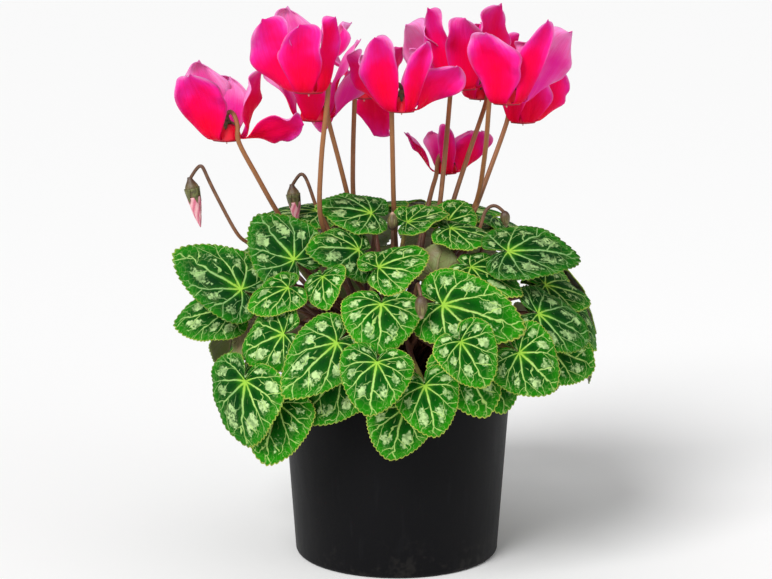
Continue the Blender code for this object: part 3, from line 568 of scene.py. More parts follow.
def petal_body(petal):
    """A closed petal whose root is sunk in the cup."""
    shape = bmesh.new()
    sheets = []
    for level in (PETAL_THICKNESS / 2, -PETAL_THICKNESS / 2):
        sheets.append([[shape.verts.new(petal_point(petal, share, side, level)) for side in (-1, 0, 1)]
                       for share in BODY_SHARES])
    rows = len(BODY_SHARES) - 1
    for row in range(rows):
        for column in (0, 1):
            for sheet, flip in zip(sheets, (False, True)):
                a, b = sheet[row][column], sheet[row][column + 1]
                c, d = sheet[row + 1][column + 1], sheet[row + 1][column]
                pair = ((a, b, d), (b, c, d)) if column else ((a, b, c), (a, c, d))
                for corners in pair:
                    shape.faces.new(reversed(corners) if flip else corners)
    upper, lower = sheets
    border = [(0, column) for column in (0, 1, 2)] + [(row, 2) for row in range(1, rows + 1)]
    border += [(rows, 1), (rows, 0)] + [(row, 0) for row in range(rows - 1, -1, -1)]
    for (row, column), (next_row, next_column) in zip(border, border[1:]):
        a, b = upper[row][column], upper[next_row][next_column]
        c, d = lower[next_row][next_column], lower[row][column]
        shape.faces.new((a, c, b))
        shape.faces.new((a, d, c))
    bmesh.ops.recalc_face_normals(shape, faces=shape.faces)
    return shape


def cup_body():
    """The short cup that the petals grow from, open at its mouth below."""
    profile = [
        (0, CUP_HEIGHT),
        (0.5 * RIM_RADIUS, 0.95 * CUP_HEIGHT),
        (0.86 * RIM_RADIUS, 0.55 * CUP_HEIGHT),
        (RIM_RADIUS, 0),
        (RIM_RADIUS - CUP_WALL, 0),
        (0.86 * RIM_RADIUS - CUP_WALL, 0.5 * CUP_HEIGHT),
        (0, CUP_HEIGHT - 1.5 * CUP_WALL),
    ]
    return turned_shape(profile, 8)


def flower_tree(flower):
    """The flower's cup and petals, as a tree for distances."""
    points, sides = [], []
    matrix = flower_matrix(flower)
    for shape in [petal_body(petal) for petal in flower.petals] + [cup_body()]:
        shape.verts.index_update()
        start = len(points)
        points += [matrix @ vert.co for vert in shape.verts]
        sides += [[start + vert.index for vert in face.verts] for face in shape.faces]
        shape.free()
    return BVHTree.FromPolygons(points, sides)


# Stalks

def smooth_route(points, parts):
    """Points along a Catmull-Rom curve through the given ones."""
    padded = [2 * points[0] - points[1], *points, 2 * points[-1] - points[-2]]
    route = []
    for before, start, end, after in zip(padded, padded[1:], padded[2:], padded[3:]):
        for step in range(parts):
            t = step / parts
            square = (2 * before - 5 * start + 4 * end - after) * t ** 2
            cube = (3 * start - before - 3 * end + after) * t ** 3
            route.append(0.5 * (2 * start + (end - before) * t + square + cube))
    route.append(points[-1])
    return route


def bezier(start, first, second, end, parts):
    """Points along a cubic curve from start to end, drawn toward first and second."""
    route = []
    for step in range(parts + 1):
        t = step / parts
        leaving = (1 - t) ** 3 * start + 3 * (1 - t) ** 2 * t * first
        route.append(leaving + 3 * (1 - t) * t ** 2 * second + t ** 3 * end)
    return route


def clearance(route, trees, skip_end=0.0, enough=0.0):
    """The least distance from a route to the trees, its last stretch left out. Stops below what is enough."""
    least = 1.0
    total = sum((b - a).length for a, b in zip(route, route[1:]))
    gone = 0.0
    for a, b in zip(route, route[1:]):
        span = (b - a).length
        count = max(1, int(span / ROUTE_STEP))
        for step in range(count):
            if total - gone - span * step / count < skip_end:
                return least
            point = a.lerp(b, step / count)
            for tree in trees:
                least = min(least, tree.find_nearest(point)[3])
            if least < enough:
                return least
        gone += span
    return least


def samples(route):
    """Points along a route, closer together than a stalk is thick."""
    return [a.lerp(b, step / SPAN_SAMPLES) for a, b in zip(route, route[1:]) for step in range(SPAN_SAMPLES)]


def spacing(route, standing):
    """The least distance from a route to the stalks that stand already, above the crowd on the tuber."""
    if not standing:
        return 1.0
    tree = KDTree(len(standing))
    for index, point in enumerate(standing):
        tree.insert(point, index)
    tree.balance()
    return min((tree.find(point)[2] for point in samples(route) if point.z > CROWD_TOP), default=1.0)


def tuber_root(azimuth, reach):
    """A point just inside the tuber's top."""
    height = TUBER_HALF_HEIGHT * (1 - (reach / TUBER_RADIUS) ** 2) ** 0.5 - 4 * MM
    angle = radians(azimuth)
    return Vector((reach * sin(angle), -reach * cos(angle), TUBER_CENTRE + height))


def leaf_routes(leaves, blades, solids, least=LEAF_STALK_RADIUS + GAP):
    """A route for each leaf stalk that keeps clear of every blade and flower and ends under its own blade."""
    draw = Random(5)
    trees = [BVHTree.FromPolygons(blade.points, blade.sides) for blade in blades]
    standing = []
    routes = []
    for index, blade in enumerate(blades):
        along, across, facing = (Vector(axis) for axis in blade.frame.to_3x3().col)
        azimuth = leaves[index].joint[0]
        others = trees[:index] + trees[index + 1:] + solids
        best_room, best_gap, best_route = 0, 0, None
        for trial in range(ROUTE_TRIALS):
            # Drawn ever more freely: how the stalk arrives at its blade, where and how it leaves the tuber
            spread = 0.15 + 0.85 * trial / ROUTE_TRIALS
            arriving = 0.8 * facing + (0.6 + spread * draw.uniform(-1.5, 0.4)) * along
            arriving = (arriving + spread * draw.uniform(-0.8, 0.8) * across).normalized()
            swing = draw.uniform(-1, 1) * 60 * spread
            turn = azimuth + draw.uniform(-1, 1) * 40 * spread
            root = tuber_root(turn, draw.uniform(*LEAF_ROOT_REACH) * MM)
            leave = Vector((sin(radians(azimuth + swing)), -cos(radians(azimuth + swing)), 0))
            first = root + Vector((0, 0, draw.uniform(18, 60) * MM)) + leave * draw.uniform(4, 40) * MM
            end = blade.frame.translation - facing * (BLADE_THICKNESS / 2 + GAP + LEAF_STALK_RADIUS)
            back = arriving * draw.uniform(14, 45) * MM
            route = bezier(root, first, end - back, end, LEAF_STALK_PARTS)
            wanted = LEAF_STALK_RADIUS + ROUTE_CLEARANCE
            room = clearance(route, [trees[index]], STALK_NECK, min(best_room, wanted))
            room = min(room, clearance(route, others, 0, min(best_room, wanted)))
            if room < min(best_room, wanted):
                continue
            gap = spacing(route, standing)
            if room > best_room and best_room < wanted or gap > best_gap:
                best_room, best_gap, best_route = room, gap, route
            if best_room > wanted and best_gap > 2.5 * LEAF_STALK_RADIUS:
                break
        if best_room < least:
            raise RuntimeError(f"the stalk of leaf {index + 1} finds no clear route")
        standing += samples(best_route)
        routes.append(seat_under(best_route, trees[index], facing))
    return routes


def seat_under(route, tree, facing):
    """Move a stalk's flat end until it lies a gap below its blade, whose upper side faces away."""
    direction = (route[-1] - route[-2]).normalized()
    side = direction.orthogonal().normalized()
    rim = [LEAF_STALK_RADIUS * (Matrix.Rotation(tau * turn / 12, 3, direction) @ side) for turn in range(12)]
    end = route[-1]
    while min(tree.find_nearest(end + corner)[3] for corner in rim) > SEAT_GAP:
        end = end + facing * SEAT_STEP
    while min(tree.find_nearest(end + corner)[3] for corner in rim) < SEAT_GAP:
        end = end - direction * SEAT_STEP
    return route[:-1] + [end]


def flower_hook(flower):
    """The points of a flower stalk past its mouth, over the hook and down into the calyx."""
    matrix = flower_matrix(flower)
    angle = radians(flower.stalk_side)
    sideways = Vector((sin(angle), -cos(angle), 0))
    return [matrix @ ((aside * sideways + Vector((0, 0, height))) * MM) for aside, height in HOOK]


def rising_route(target, leave_point, blades, azimuth):
    """A stalk from the tuber's crown up through the leaves at a point and on to the target."""
    draw = Random(11)
    best = None
    for trial in range(ROUTE_TRIALS):
        spread = trial / ROUTE_TRIALS
        root = tuber_root(azimuth + draw.uniform(-1, 1) * 120 * spread, draw.uniform(0, CROWN_REACH))
        sway = Vector((draw.uniform(-1, 1), draw.uniform(-1, 1), 0)) * 20 * MM * spread
        shift = Vector((0.3 * draw.uniform(-1, 1), draw.uniform(-1, 1), 0)) * 18 * MM * spread
        middle = root.lerp(leave_point, 0.5) + sway
        route = smooth_route([root, middle, leave_point + shift, target], 2)
        room = clearance(route, blades)
        if best is None or room > best[0]:
            best = (room, route)
        if room > FLOWER_STALK_RADIUS + ROUTE_CLEARANCE:
            break
    room, route = best
    if room < FLOWER_STALK_RADIUS + GAP:
        raise RuntimeError(f"the stalk at {azimuth} degrees finds no clear route")
    return route


def clear_bud(bud, blades):
    """The bud's points, moved by the least step that brings its hook and body clear of the blades."""
    steps = [(turn, out, up) for turn in BUD_TURNS for out in BUD_OUTS for up in BUD_UPS]
    steps.sort(key=lambda step: abs(step[0]) * 1.5 + abs(step[1]) + abs(step[2]))
    stalk_room = BUD_STALK_RADIUS + ROUTE_CLEARANCE
    body_room = bud.radius * MM + GAP
    for turn, out, up in steps:
        points = [place(azimuth + turn, reach + out, height + up) for azimuth, reach, height in bud.route]
        hook = smooth_route(points[:4], 2)
        if clearance(hook, blades, 0, stalk_room) < stalk_room:
            continue
        if clearance(points[3:], blades, 0, body_room) > body_room:
            return points
    raise RuntimeError("a bud finds no clear place")


def bud_route(bud, blades):
    """The bud's stalk, up through the leaves and over its hook, and on to the bud's tip."""
    points = clear_bud(bud, blades)
    hook = smooth_route(points[:4], 2)
    below = points[0].lerp(Vector((0, 0, points[0].z)), 0.12) - Vector((0, 0, 8 * MM))
    return rising_route(hook[0], below, blades, bud.route[0][0])[:-1] + hook + [points[4]]


# The plant as it was laid out: blades clear of each other, stalks on free routes

def lay_blades(leaves, standing, first_index=0):
    """Move each blade clear of what stands and of those laid before it, by the least lift and tilt."""
    moves = [(lift, pitch, roll) for lift in range(LARGEST_LIFT + 1) for pitch in PITCHES for roll in ROLLS]
    moves.sort(key=lambda move: move[0] + abs(move[1]) / 5 + abs(move[2]) / 6)
    trees = list(standing)
    laid = []
    for index, leaf in enumerate(leaves, first_index):
        matrix = leaf_matrix(leaf)
        thick, sides = blade_shell(leaf, index, BLADE_THICKNESS + BLADE_CLEARANCE)
        for lift, pitch, roll in moves:
            turned_by = Matrix.Rotation(radians(roll), 4, "X") @ Matrix.Rotation(radians(pitch), 4, "Y")
            pose = matrix @ Matrix.Translation((0, 0, lift * MM)) @ turned_by
            tree = BVHTree.FromPolygons([pose @ point for point in thick], sides)
            if not any(tree.overlap(other) for other in trees):
                break
        else:
            raise RuntimeError(f"leaf {index + 1} finds no clear place")
        trees.append(tree)
        points, sides = blade_shell(leaf, index, BLADE_THICKNESS)
        laid.append(Blade([pose @ point for point in points], sides, pose))
    return laid


class Plant(NamedTuple):
    """The laid-out plant: blades, filling blades and the routes of all stalks."""
    blades: list
    filling: list
    leaf_routes: list
    filling_routes: list
    flower_routes: list
    bud_routes: list


def route_tree(route, radius):
    """A three-sided hull along a route, wider than the stalk, to keep blades off it."""
    radius *= 1.3
    points = []
    sides = []
    for point, (side, up) in zip(route, ring_frames(route)):
        start = len(points)
        points += [point + radius * (side * cos(turn) + up * sin(turn)) for turn in (0, tau / 3, 2 * tau / 3)]
        if start:
            for corner in range(3):
                after = (corner + 1) % 3
                sides.append([start - 3 + corner, start - 3 + after, start + after, start + corner])
    return BVHTree.FromPolygons(points, sides)


@lru_cache(maxsize=None)
def plant():
    """Lay the whole plant out once, in the same order as the part's own source does."""
    blades = lay_blades(LEAVES, [])
    flower_trees = [flower_tree(flower) for flower in FLOWERS]
    trees = [BVHTree.FromPolygons(blade.points, blade.sides) for blade in blades]
    obstacles = trees + flower_trees
    stalks = leaf_routes(LEAVES, blades, flower_trees)
    flower_routes = []
    for flower in FLOWERS:
        hook = flower_hook(flower)
        rise = rising_route(hook[0], place(*flower.exit), obstacles, flower.exit[0])
        flower_routes.append(rise[:-1] + hook)
    bud_routes = [bud_route(bud, obstacles) for bud in BUDS]
    stalk_trees = [route_tree(route, LEAF_STALK_RADIUS) for route in stalks]
    stalk_trees += [route_tree(route, FLOWER_STALK_RADIUS) for route in flower_routes]
    stalk_trees += [route_tree(route[:-1], FLOWER_STALK_RADIUS) for route in bud_routes]
    filling = lay_blades(FILLING_LEAVES, obstacles + stalk_trees, len(LEAVES))
    filling_routes = leaf_routes(FILLING_LEAVES, filling, obstacles, 0)
    return Plant(blades, filling, stalks, filling_routes, flower_routes, bud_routes)


# Building blocks for the dressed pieces

def sheet(shape, columns, rows, place_at, slot=0):
    """A grid bent to place_at(u, v), with u and v kept as its UV map. Returns its vertices."""
    layer = shape.loops.layers.uv.verify()
    made = bmesh.ops.create_grid(shape, x_segments=columns, y_segments=rows, size=0.5)["verts"]
    for face in {face for vert in made for face in vert.link_faces}:
        face.material_index = slot
        face.smooth = True
        for loop in face.loops:
            loop[layer].uv = (loop.vert.co.x + 0.5, loop.vert.co.y + 0.5)
    for vert in made:
        vert.co = place_at(vert.co.x + 0.5, vert.co.y + 0.5)
    return made


def ring_frames(route):
    """At each point of a route, two directions square to it, carried along without twist."""
    frames = []
    side = None
    for before, after in zip([route[0], *route], [*route[1:], route[-1]]):
        along = (after - before).normalized()
        side = side - side.dot(along) * along if side else along.orthogonal()
        side.normalize()
        frames.append((side.copy(), along.cross(side)))
    return frames


def tube(shape, route, radii, sides, slot=0, form=None):
    """A closed tube along a route. Form gives a factor for its radius at a share and an angle."""
    frames = ring_frames(route)
    last = len(route) - 1

    def place_at(u, v):
        ring = round(u * last)
        side, up = frames[ring]
        turn = -tau * v
        radius = radii[ring] * (form(u, turn) if form else 1)
        return route[ring] + radius * (side * cos(turn) + up * sin(turn))

    made = sheet(shape, last, sides, place_at, slot)
    bmesh.ops.remove_doubles(shape, verts=made, dist=1e-6)
    rims = {edge for vert in made if vert.is_valid for edge in vert.link_edges if edge.is_boundary}
    bmesh.ops.edgeloop_fill(shape, edges=list(rims), mat_nr=slot, use_smooth=False)
    bmesh.ops.recalc_face_normals(shape, faces=shape.faces)


def add_object(name, data):
    made = bpy.data.objects.new(name, data)
    bpy.context.scene.collection.objects.link(made)
    return made


def add_mesh(name, shape, materials=()):
    """Make the shape an object with these materials."""
    mesh = bpy.data.meshes.new(name)
    shape.to_mesh(mesh)
    shape.free()
    for skin in materials:
        mesh.materials.append(skin)
    return add_object(name, mesh)


def piece(name, shape, materials, replaced=()):
    """Make the shape an object of the plant that stands for the named nodes."""
    made = add_mesh(name, shape, materials)
    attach(made, BODY)
    if replaced:
        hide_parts(*replaced)
    return made


def give_look(made, values):
    """Three values at every point of a piece, for its material to read."""
    layer = made.data.attributes.new("look", "FLOAT_VECTOR", "POINT")
    layer.data.foreach_set("vector", list(values) * len(made.data.vertices))


def thicken(made, thickness, offset):
    """Give a sheet its thickness. Its far face takes the next material."""
    wall = made.modifiers.new("Thickness", "SOLIDIFY")
    wall.thickness = thickness
    wall.offset = offset
    wall.material_offset = 1
    wall.use_even_offset = False


def shares(count):
    """Even steps from 0 to 1."""
    return [step / count for step in range(count + 1)]


# Leaves

def vein_gap(share, turn):
    """The distance from the nearest main vein, 0 on it and 0.5 midway to the next."""
    order = turn * (1 + VEIN_BEND * share) / VEIN_TURN
    return abs(order - round(order))


def fine_blade_point(leaf, index, share, turn, settings):
    """A point of the upper face: the laid blade with fine teeth, sunk veins and a rolled margin."""
    steps = len(TOOTH_SHAPE)
    step = round(settings.teeth * steps * (1 - turn / BLADE_SPAN) / 2)
    lobe = TOOTH_SHAPE[step % steps] * (0.8 + 0.4 * noise.noise((0.23 * (step // steps), index, 0)))
    tooth = settings.tooth_depth * (lobe - 0.5) * smooth_step((share - 0.86) / 0.14)
    point = blade_point(leaf, index, share, turn, tooth)
    quilt = QUILT_HEIGHT * smooth_step(share / 0.35) * (1 - 0.6 * share)
    quilt *= sin(pi * vein_gap(share, turn)) ** 0.7
    ripple = MARGIN_RIPPLE * share ** 3 * (sin(5 * turn + 2.3 * index) + 0.5 * sin(11 * turn + 4.1 * index))
    roll = MARGIN_ROLL * smooth_step((share - 0.8) / 0.2)
    return point + Vector((0, 0, FINE_BLADE / 2 + quilt + ripple - roll))


def any_look(draw):
    """A tone and a share of silver."""
    return draw.uniform(0.2, 0.9), draw.uniform(0.4, 0.9)


def make_leaf(name, leaf, index, blade, look, replaced=()):
    """A toothed blade. Its material reads its look, and a third value for the painted shade that sets one
    half darker than the other.
    """
    settings = bpy.context.scene.cyclamen_leaves

    def place_at(u, v):
        return blade.frame @ fine_blade_point(leaf, index, v, BLADE_SPAN * (1 - 2 * u), settings)

    shape = bmesh.new()
    made = sheet(shape, settings.teeth * len(TOOTH_SHAPE), BLADE_RINGS, place_at)
    bmesh.ops.remove_doubles(shape, verts=made, dist=1e-7)
    leaf_piece = piece(name, shape, [leaf_material(), underside_material()], replaced)
    # The third value sets how strongly painted shade darkens one half of the blade and lightens the other, as
    # light falls on its fold
    give_look(leaf_piece, (*look, index * 0.618 % 1))
    thicken(leaf_piece, FINE_BLADE, -1)


# Flowers

def fine_petal_width(share):
    """A petal's width as a share of its widest, closed to a round tip."""
    if share < WIDEST_SHARE:
        return 0.25 + 0.75 * sin(pi / 2 * share / WIDEST_SHARE) ** 1.3
    return max(0, 1 - ((share - WIDEST_SHARE) / 0.342) ** 2.4) ** 0.5


def fine_petal_point(petal, side, row, seed):
    """A point of a petal: side runs from -1 to 1, and the rows lie closer at the root and at the tip."""
    share = row - ROW_CROWDING * sin(tau * row)
    point, direction, across, off = petal_frame(petal, share)
    length = petal.length * MM
    width = petal.width * MM
    taper = fine_petal_width(share)
    upper = smooth_step((share - 0.25) / 0.6)
    hand = 1 if seed > 0.5 else -1
    # Along the petal: a drawn-out tip, and one edge carried further than the other
    drawn = TIP_DRAWN * length * (seed * 7 % 1) * smooth_step((share - 0.7) / 0.3)
    along = drawn * exp(-(side / 0.42) ** 2) + EDGE_LEAD * length * upper * side * hand * taper
    # Across it: an uneven edge, and the tip drawn aside
    uneven = sin(15 * share + 2 * hand * side + 20 * seed)
    half = width / 2 * taper * (1 + EDGE_UNEVEN * smooth_step((share - 0.4) / 0.4) * uneven)
    aside = half * side + TIP_ASIDE * width * smooth_step((share - 0.55) / 0.45) ** 2 * hand
    # Off its face: camber, waves, a rolled edge, the flare of the tip and a crease down the middle
    height = petal.camber * width * smooth_step(share / 0.5) * side ** 2
    height += EDGE_WAVE * width * upper * abs(side) ** 1.5 * sin(11 * share + 2.6 * side + 9 * seed)
    height += EDGE_RUFFLE * width * upper * side ** 2 * sin(23 * share - 3 * side + 20 * seed)
    roll = EDGE_ROLL * width * smooth_step((share - 0.3) / 0.5) * abs(side) ** 3 * (1 + 0.8 * hand * side)
    height -= roll * (1 - smooth_step((share - 0.7) / 0.3))
    height -= TIP_FLARE * length * smooth_step((share - 0.45) / 0.7) ** 2
    height += CREASE * width * exp(-(side / 0.14) ** 2) * smooth_step(share / 0.25) * (1 - 0.7 * share)
    return point + direction * along + across * aside + off * height


def cup_profile(share):
    """Radius and height of the cup's wall, from its mouth up to the crown."""
    if share < LIP_SHARE:
        low = share / LIP_SHARE
        return RIM_RADIUS * (0.94 + 0.06 * low), -CUP_DROP * (1 - low)
    turn = (share - LIP_SHARE) / (1 - LIP_SHARE) * pi / 2
    return RIM_RADIUS * cos(turn) ** 0.7, CUP_HEIGHT * sin(turn)


def make_bloom(number, flower):
    """A flower's five petals and their cup. Each petal draws its own folds."""
    draw = Random(number)
    matrix = flower_matrix(flower)
    shape = bmesh.new()
    for order, petal in enumerate(flower.petals):
        seed = draw.random()
        sheet(shape, PETAL_COLUMNS, PETAL_ROWS,
              lambda u, v: matrix @ fine_petal_point(petal, 2 * u - 1, v, seed),
              (number, order) in PALE_PETALS)

    def cup_at(u, v):
        radius, height = cup_profile(v)
        turn = tau * u
        radius *= 1 + 0.05 * cos(5 * turn) * (1 - v)
        return matrix @ Vector((radius * sin(turn), -radius * cos(turn), height))

    made = sheet(shape, CUP_COLUMNS, CUP_ROWS, cup_at, 3)
    bmesh.ops.remove_doubles(shape, verts=made, dist=1e-6)
    # The far face of a petal or cup takes the slot after its own
    face, reverse = petal_material("Petal", False), petal_material("Petal reverse", True)
    skins = [face, reverse, face, cup_material(), cup_material()]
    bloom = piece(f"open_bloom_{number:02d}", shape, skins, [f"bloom_{number:02d}"])
    thicken(bloom, FINE_PETAL, 0)


def make_flower_hearts():
    """The pale style and the cone of anthers inside each cup."""
    shape = bmesh.new()
    for flower in FLOWERS:
        matrix = flower_matrix(flower)
        line = [matrix @ Vector((0, 0, height * MM)) for height in STYLE_HEIGHTS]
        tube(shape, line, [STYLE_RADIUS] * len(line), HEART_SIDES)
        for turn in range(PARTS_ROUND):
            angle = tau * turn / PARTS_ROUND
            aside = Vector((sin(angle), -cos(angle), 0)) * ANTHER_REACH
            line = [matrix @ (aside * (1 - 0.6 * step / 4) + Vector((0, 0, (4 - step * 1.3) * MM)))
                    for step in range(5)]
            tube(shape, line, [radius * MM for radius in ANTHER_RADII], HEART_SIDES, 1)
    piece("flower_hearts", shape, [plain_material("Style"), plain_material("Anthers")])


# Stalks and buds

def spread(route, parts, first, last, easing=0):
    """A finer route, its bends eased a number of times, and radii that run evenly from first to last."""
    fine = smooth_route(route, parts)
    for _ in range(easing):
        eased = [(before + 2 * point + after) / 4 for before, point, after in zip(fine, fine[1:], fine[2:])]
        fine = [fine[0], *eased, fine[-1]]
    return fine, [first + (last - first) * share for share in shares(len(fine) - 1)]


def make_stalks(name, routes, foot, top, parts, sides, easing=0):
    """One piece of stalks that grow from the tuber, from the radius at the foot to that at the top."""
    shape = bmesh.new()
    for route in routes:
        fine, radii = spread(route, parts, foot, top, easing)
        tube(shape, fine, radii, sides, 0, lambda u, turn: 1 + 0.05 * sin(3 * turn + 9 * u) * sin(14 * u))
    piece(name, shape, [stalk_material(name)], ["tuber_and_stalks"])


def into_blades(routes, blades):
    """Leaf stalks drawn on until their ends are sunk in their blades."""
    return [[*route[:-1], route[-1] + blade.frame.to_3x3().col[2] * STALK_SINK]
            for route, blade in zip(routes, blades)]


def sepal_point(flower, turn, side, share):
    """A point of one of the five pointed sepals that hug the crown of a cup."""
    angle = tau * turn / PARTS_ROUND + 0.35 * side * (1 - share) ** 0.7
    radius = RIM_RADIUS * (0.3 + 0.62 * share) + 0.5 * MM
    height = CUP_HEIGHT * (1.12 - 0.5 * share ** 1.6) + 0.4 * MM
    return flower_matrix(flower) @ Vector((radius * sin(angle), -radius * cos(angle), height))


def bud_axis(route):
    """Where a bud starts, and the direction in which it hangs."""
    return route[-2], (route[-1] - route[-2]).normalized()


def bud_sepal_point(bud, route, turn, side, share):
    """A point of one of the five pointed sepals that close over a bud's petals."""
    start, axis = bud_axis(route)
    across, up = ring_frames([start, start + axis])[0]
    angle = tau * turn / PARTS_ROUND + 0.62 * side * (1 - share ** 1.5)
    radius = bud.radius * MM * (1.08 - 0.2 * share)
    along = bud.length * MM * (0.45 + 0.62 * share)
    return start + axis * (along - BUD_SINK) + radius * (across * cos(angle) + up * sin(angle))


def make_calyxes():
    """The sepals of the open flowers and of the pink buds."""
    shape = bmesh.new()
    for bud, route in zip(BUDS, plant().bud_routes):
        if bud.pink:
            for turn in range(PARTS_ROUND):
                sheet(shape, SEPAL_COLUMNS, SEPAL_ROWS,
                      lambda u, v: bud_sepal_point(bud, route, turn, 2 * u - 1, v))
    for flower in FLOWERS:
        for turn in range(PARTS_ROUND):
            sheet(shape, SEPAL_COLUMNS, SEPAL_ROWS,
                  lambda u, v: sepal_point(flower, turn, 2 * u - 1, v))
    made = piece("calyxes", shape, [plain_material("Sepals")] * 2, ["tuber_and_stalks"])
    thicken(made, SEPAL_THICKNESS, 1)


def make_receptacles():
    """The swollen end of each flower stalk, on the crown of its cup."""
    shape = bmesh.new()
    for flower in FLOWERS:
        line = [flower_matrix(flower) @ Vector((0, 0, height * MM)) for height, radius in RECEPTACLE]
        tube(shape, line, [radius * MM for height, radius in RECEPTACLE], STALK_SIDES)
    piece("receptacles", shape, [plain_material("Sepals")], ["tuber_and_stalks"])


def bud_swell(bud, share):
    """The radius of a bud's sepals at a share of its length: wide at the tip where petals come out."""
    if bud.pink:
        form = 0.35 + 0.68 * smooth_step(share / 0.45) - 0.28 * smooth_step((share - 0.7) / 0.3)
    else:
        form = max(0.3 if share < 0.2 else 0.06, sin(pi * share ** 0.75) ** 0.6 * 1.02)
    return bud.radius * MM * form


def make_buds():
    """The brown closed sepals of every bud."""
    shape = bmesh.new()
    for bud, route in zip(BUDS, plant().bud_routes):
        start, axis = bud_axis(route)
        line = [start + axis * (bud.length * MM * share - BUD_SINK) for share in shares(BUD_RINGS)]
        swell = [bud_swell(bud, share) for share in shares(BUD_RINGS)]
        tube(shape, line, swell, BUD_SIDES, 0, lambda u, turn: 1 + 0.09 * abs(cos(2.5 * turn)) - 0.05)
    piece("bud_sepals", shape, [bud_material()], ["tuber_and_stalks"])


def make_bud_petals():
    """The pale rolled petals that hang twisted out of the two largest buds."""
    tips = [(bud, route) for bud, route in zip(BUDS, plant().bud_routes) if bud.pink]
    for number, (bud, route) in enumerate(tips, 1):
        start, axis = bud_axis(route)
        hidden = bud.length * MM * 0.75
        shown = (route[-1] - start).length - hidden
        line = [start + axis * (hidden + shown * share) for share in shares(BUD_PETAL_RINGS)]
        radii = [bud.radius * MM * (0.9 * (1 - share ** 1.6) + 0.06) for share in shares(BUD_PETAL_RINGS)]
        shape = bmesh.new()
        tube(shape, line, radii, BUD_PETAL_SIDES, 0,
             lambda u, turn: 0.84 + 0.22 * abs(sin(2.5 * turn + 5 * u)) ** 0.6)
        piece(f"bud_petals_fine_{number}", shape, [bud_petal_material()],
              [f"bud_petals_{number}"])


# Pot, soil and tuber

def cut_by(shape, cutters):
    """The shape with the cutters taken out of it."""
    holders = [add_mesh("holder", shape), add_mesh("cutters", cutters)]
    cut = holders[0].modifiers.new("Cut", "BOOLEAN")
    cut.operation = "DIFFERENCE"
    cut.object = holders[1]
    bpy.context.view_layer.update()
    seen = holders[0].evaluated_get(bpy.context.evaluated_depsgraph_get())
    result = bmesh.new()
    result.from_mesh(seen.to_mesh())
    seen.to_mesh_clear()
    for holder in holders:
        bpy.data.objects.remove(holder)
    return result


def make_pot():
    """The pot turned from its section, with its drain holes cut through the floor."""
    foot_round = [(POT_FOOT_RADIUS - POT_FOOT_ROUND * (1 - sin(turn)), POT_FOOT_ROUND * (1 - cos(turn)))
                  for turn in (radians(15 * step) for step in range(7))]
    half_wall = POT_WALL / 2
    rim_round = [(POT_RIM_RADIUS - half_wall * (1 - cos(turn)), POT_HEIGHT - half_wall * (1 - sin(turn)))
                 for turn in (radians(30 * step) for step in range(7))]
    wall_foot = pot_radius(POT_FLOOR) - POT_WALL
    profile = [(0, 0), (0.5 * POT_FOOT_RADIUS, 0), *foot_round, *rim_round,
               (wall_foot + MM, POT_FLOOR + 2 * MM), (wall_foot - MM, POT_FLOOR), (0, POT_FLOOR)]
    cutters = bmesh.new()
    for index in range(DRAIN_HOLES):
        angle = tau * (index + 0.5) / DRAIN_HOLES
        where = Matrix.Translation((DRAIN_REACH * cos(angle), DRAIN_REACH * sin(angle), 0))
        bmesh.ops.create_cone(cutters, cap_ends=True, segments=DRAIN_SIDES, radius1=DRAIN_RADIUS,
                              radius2=DRAIN_RADIUS, depth=4 * POT_FLOOR, matrix=where)
    shape = cut_by(turned_shape(profile, POT_STEPS), cutters)
    made = piece("pot_shell", shape, [pot_material()], ["pot"])
    made.data.shade_smooth()
    made.data.set_sharp_from_angle(angle=radians(40))


def make_soil():
    """The soil that fills the pot, lumpy on top, with crumbs of peat and a few white grains."""
    floor = POT_FLOOR + GAP
    wall = pot_radius(floor) - POT_WALL - GAP
    edge = pot_radius(SOIL_HEIGHT) - POT_WALL - GAP
    top = [(edge * (1 - step / SOIL_RINGS), SOIL_HEIGHT) for step in range(SOIL_RINGS + 1)]
    shape = turned_shape([(0, floor), (wall, floor), *top], SOIL_STEPS)
    for vert in shape.verts:
        if vert.co.z > SOIL_HEIGHT - MM:
            inward = 1 - vert.co.to_2d().length / edge
            lumps = 1.3 * noise.noise(vert.co * 160) + 0.7 * noise.noise(vert.co * 420)
            vert.co.z += (0.8 * min(1, 6 * inward) + lumps) * MM
    for face in shape.faces:
        face.smooth = True
    draw = Random(8)
    for number in range(SOIL_CRUMBS):
        turn = draw.uniform(0, tau)
        reach = draw.uniform(TUBER_RADIUS * 0.95, edge - 1.5 * MM)
        size = draw.uniform(0.5, 1.6) * MM
        where = Matrix.Translation((reach * sin(turn), -reach * cos(turn), SOIL_HEIGHT + 1.2 * MM))
        spin = Matrix.Rotation(draw.uniform(0, tau), 4, (draw.random(), draw.random(), 1))
        flatten = Matrix.Diagonal((1, 0.7, 0.6, 1))
        crumb = bmesh.ops.create_icosphere(shape, subdivisions=1, radius=size, matrix=where @ spin @ flatten)
        for face in {face for vert in crumb["verts"] for face in vert.link_faces}:
            face.material_index = number % WHITE_GRAIN_EVERY == 0
    piece("soil_surface", shape, [plain_material("Peat"), plain_material("White grains")])


def make_tuber():
    """The flattened corky tuber."""
    shape = bmesh.new()
    made = bmesh.ops.create_uvsphere(shape, u_segments=TUBER_STEPS, v_segments=TUBER_RINGS, radius=1)["verts"]
    for vert in made:
        lumps = 1 + 0.05 * noise.noise(vert.co * 3) + 0.02 * noise.noise(vert.co * 11)
        flat = Vector((vert.co.x * TUBER_RADIUS, vert.co.y * TUBER_RADIUS, vert.co.z * TUBER_HALF_HEIGHT))
        vert.co = flat * 0.98 * lumps + Vector((0, 0, TUBER_CENTRE))
    for face in shape.faces:
        face.smooth = True
    piece("tuber", shape, [plain_material("Corky tuber")], ["tuber_and_stalks"])


# Materials

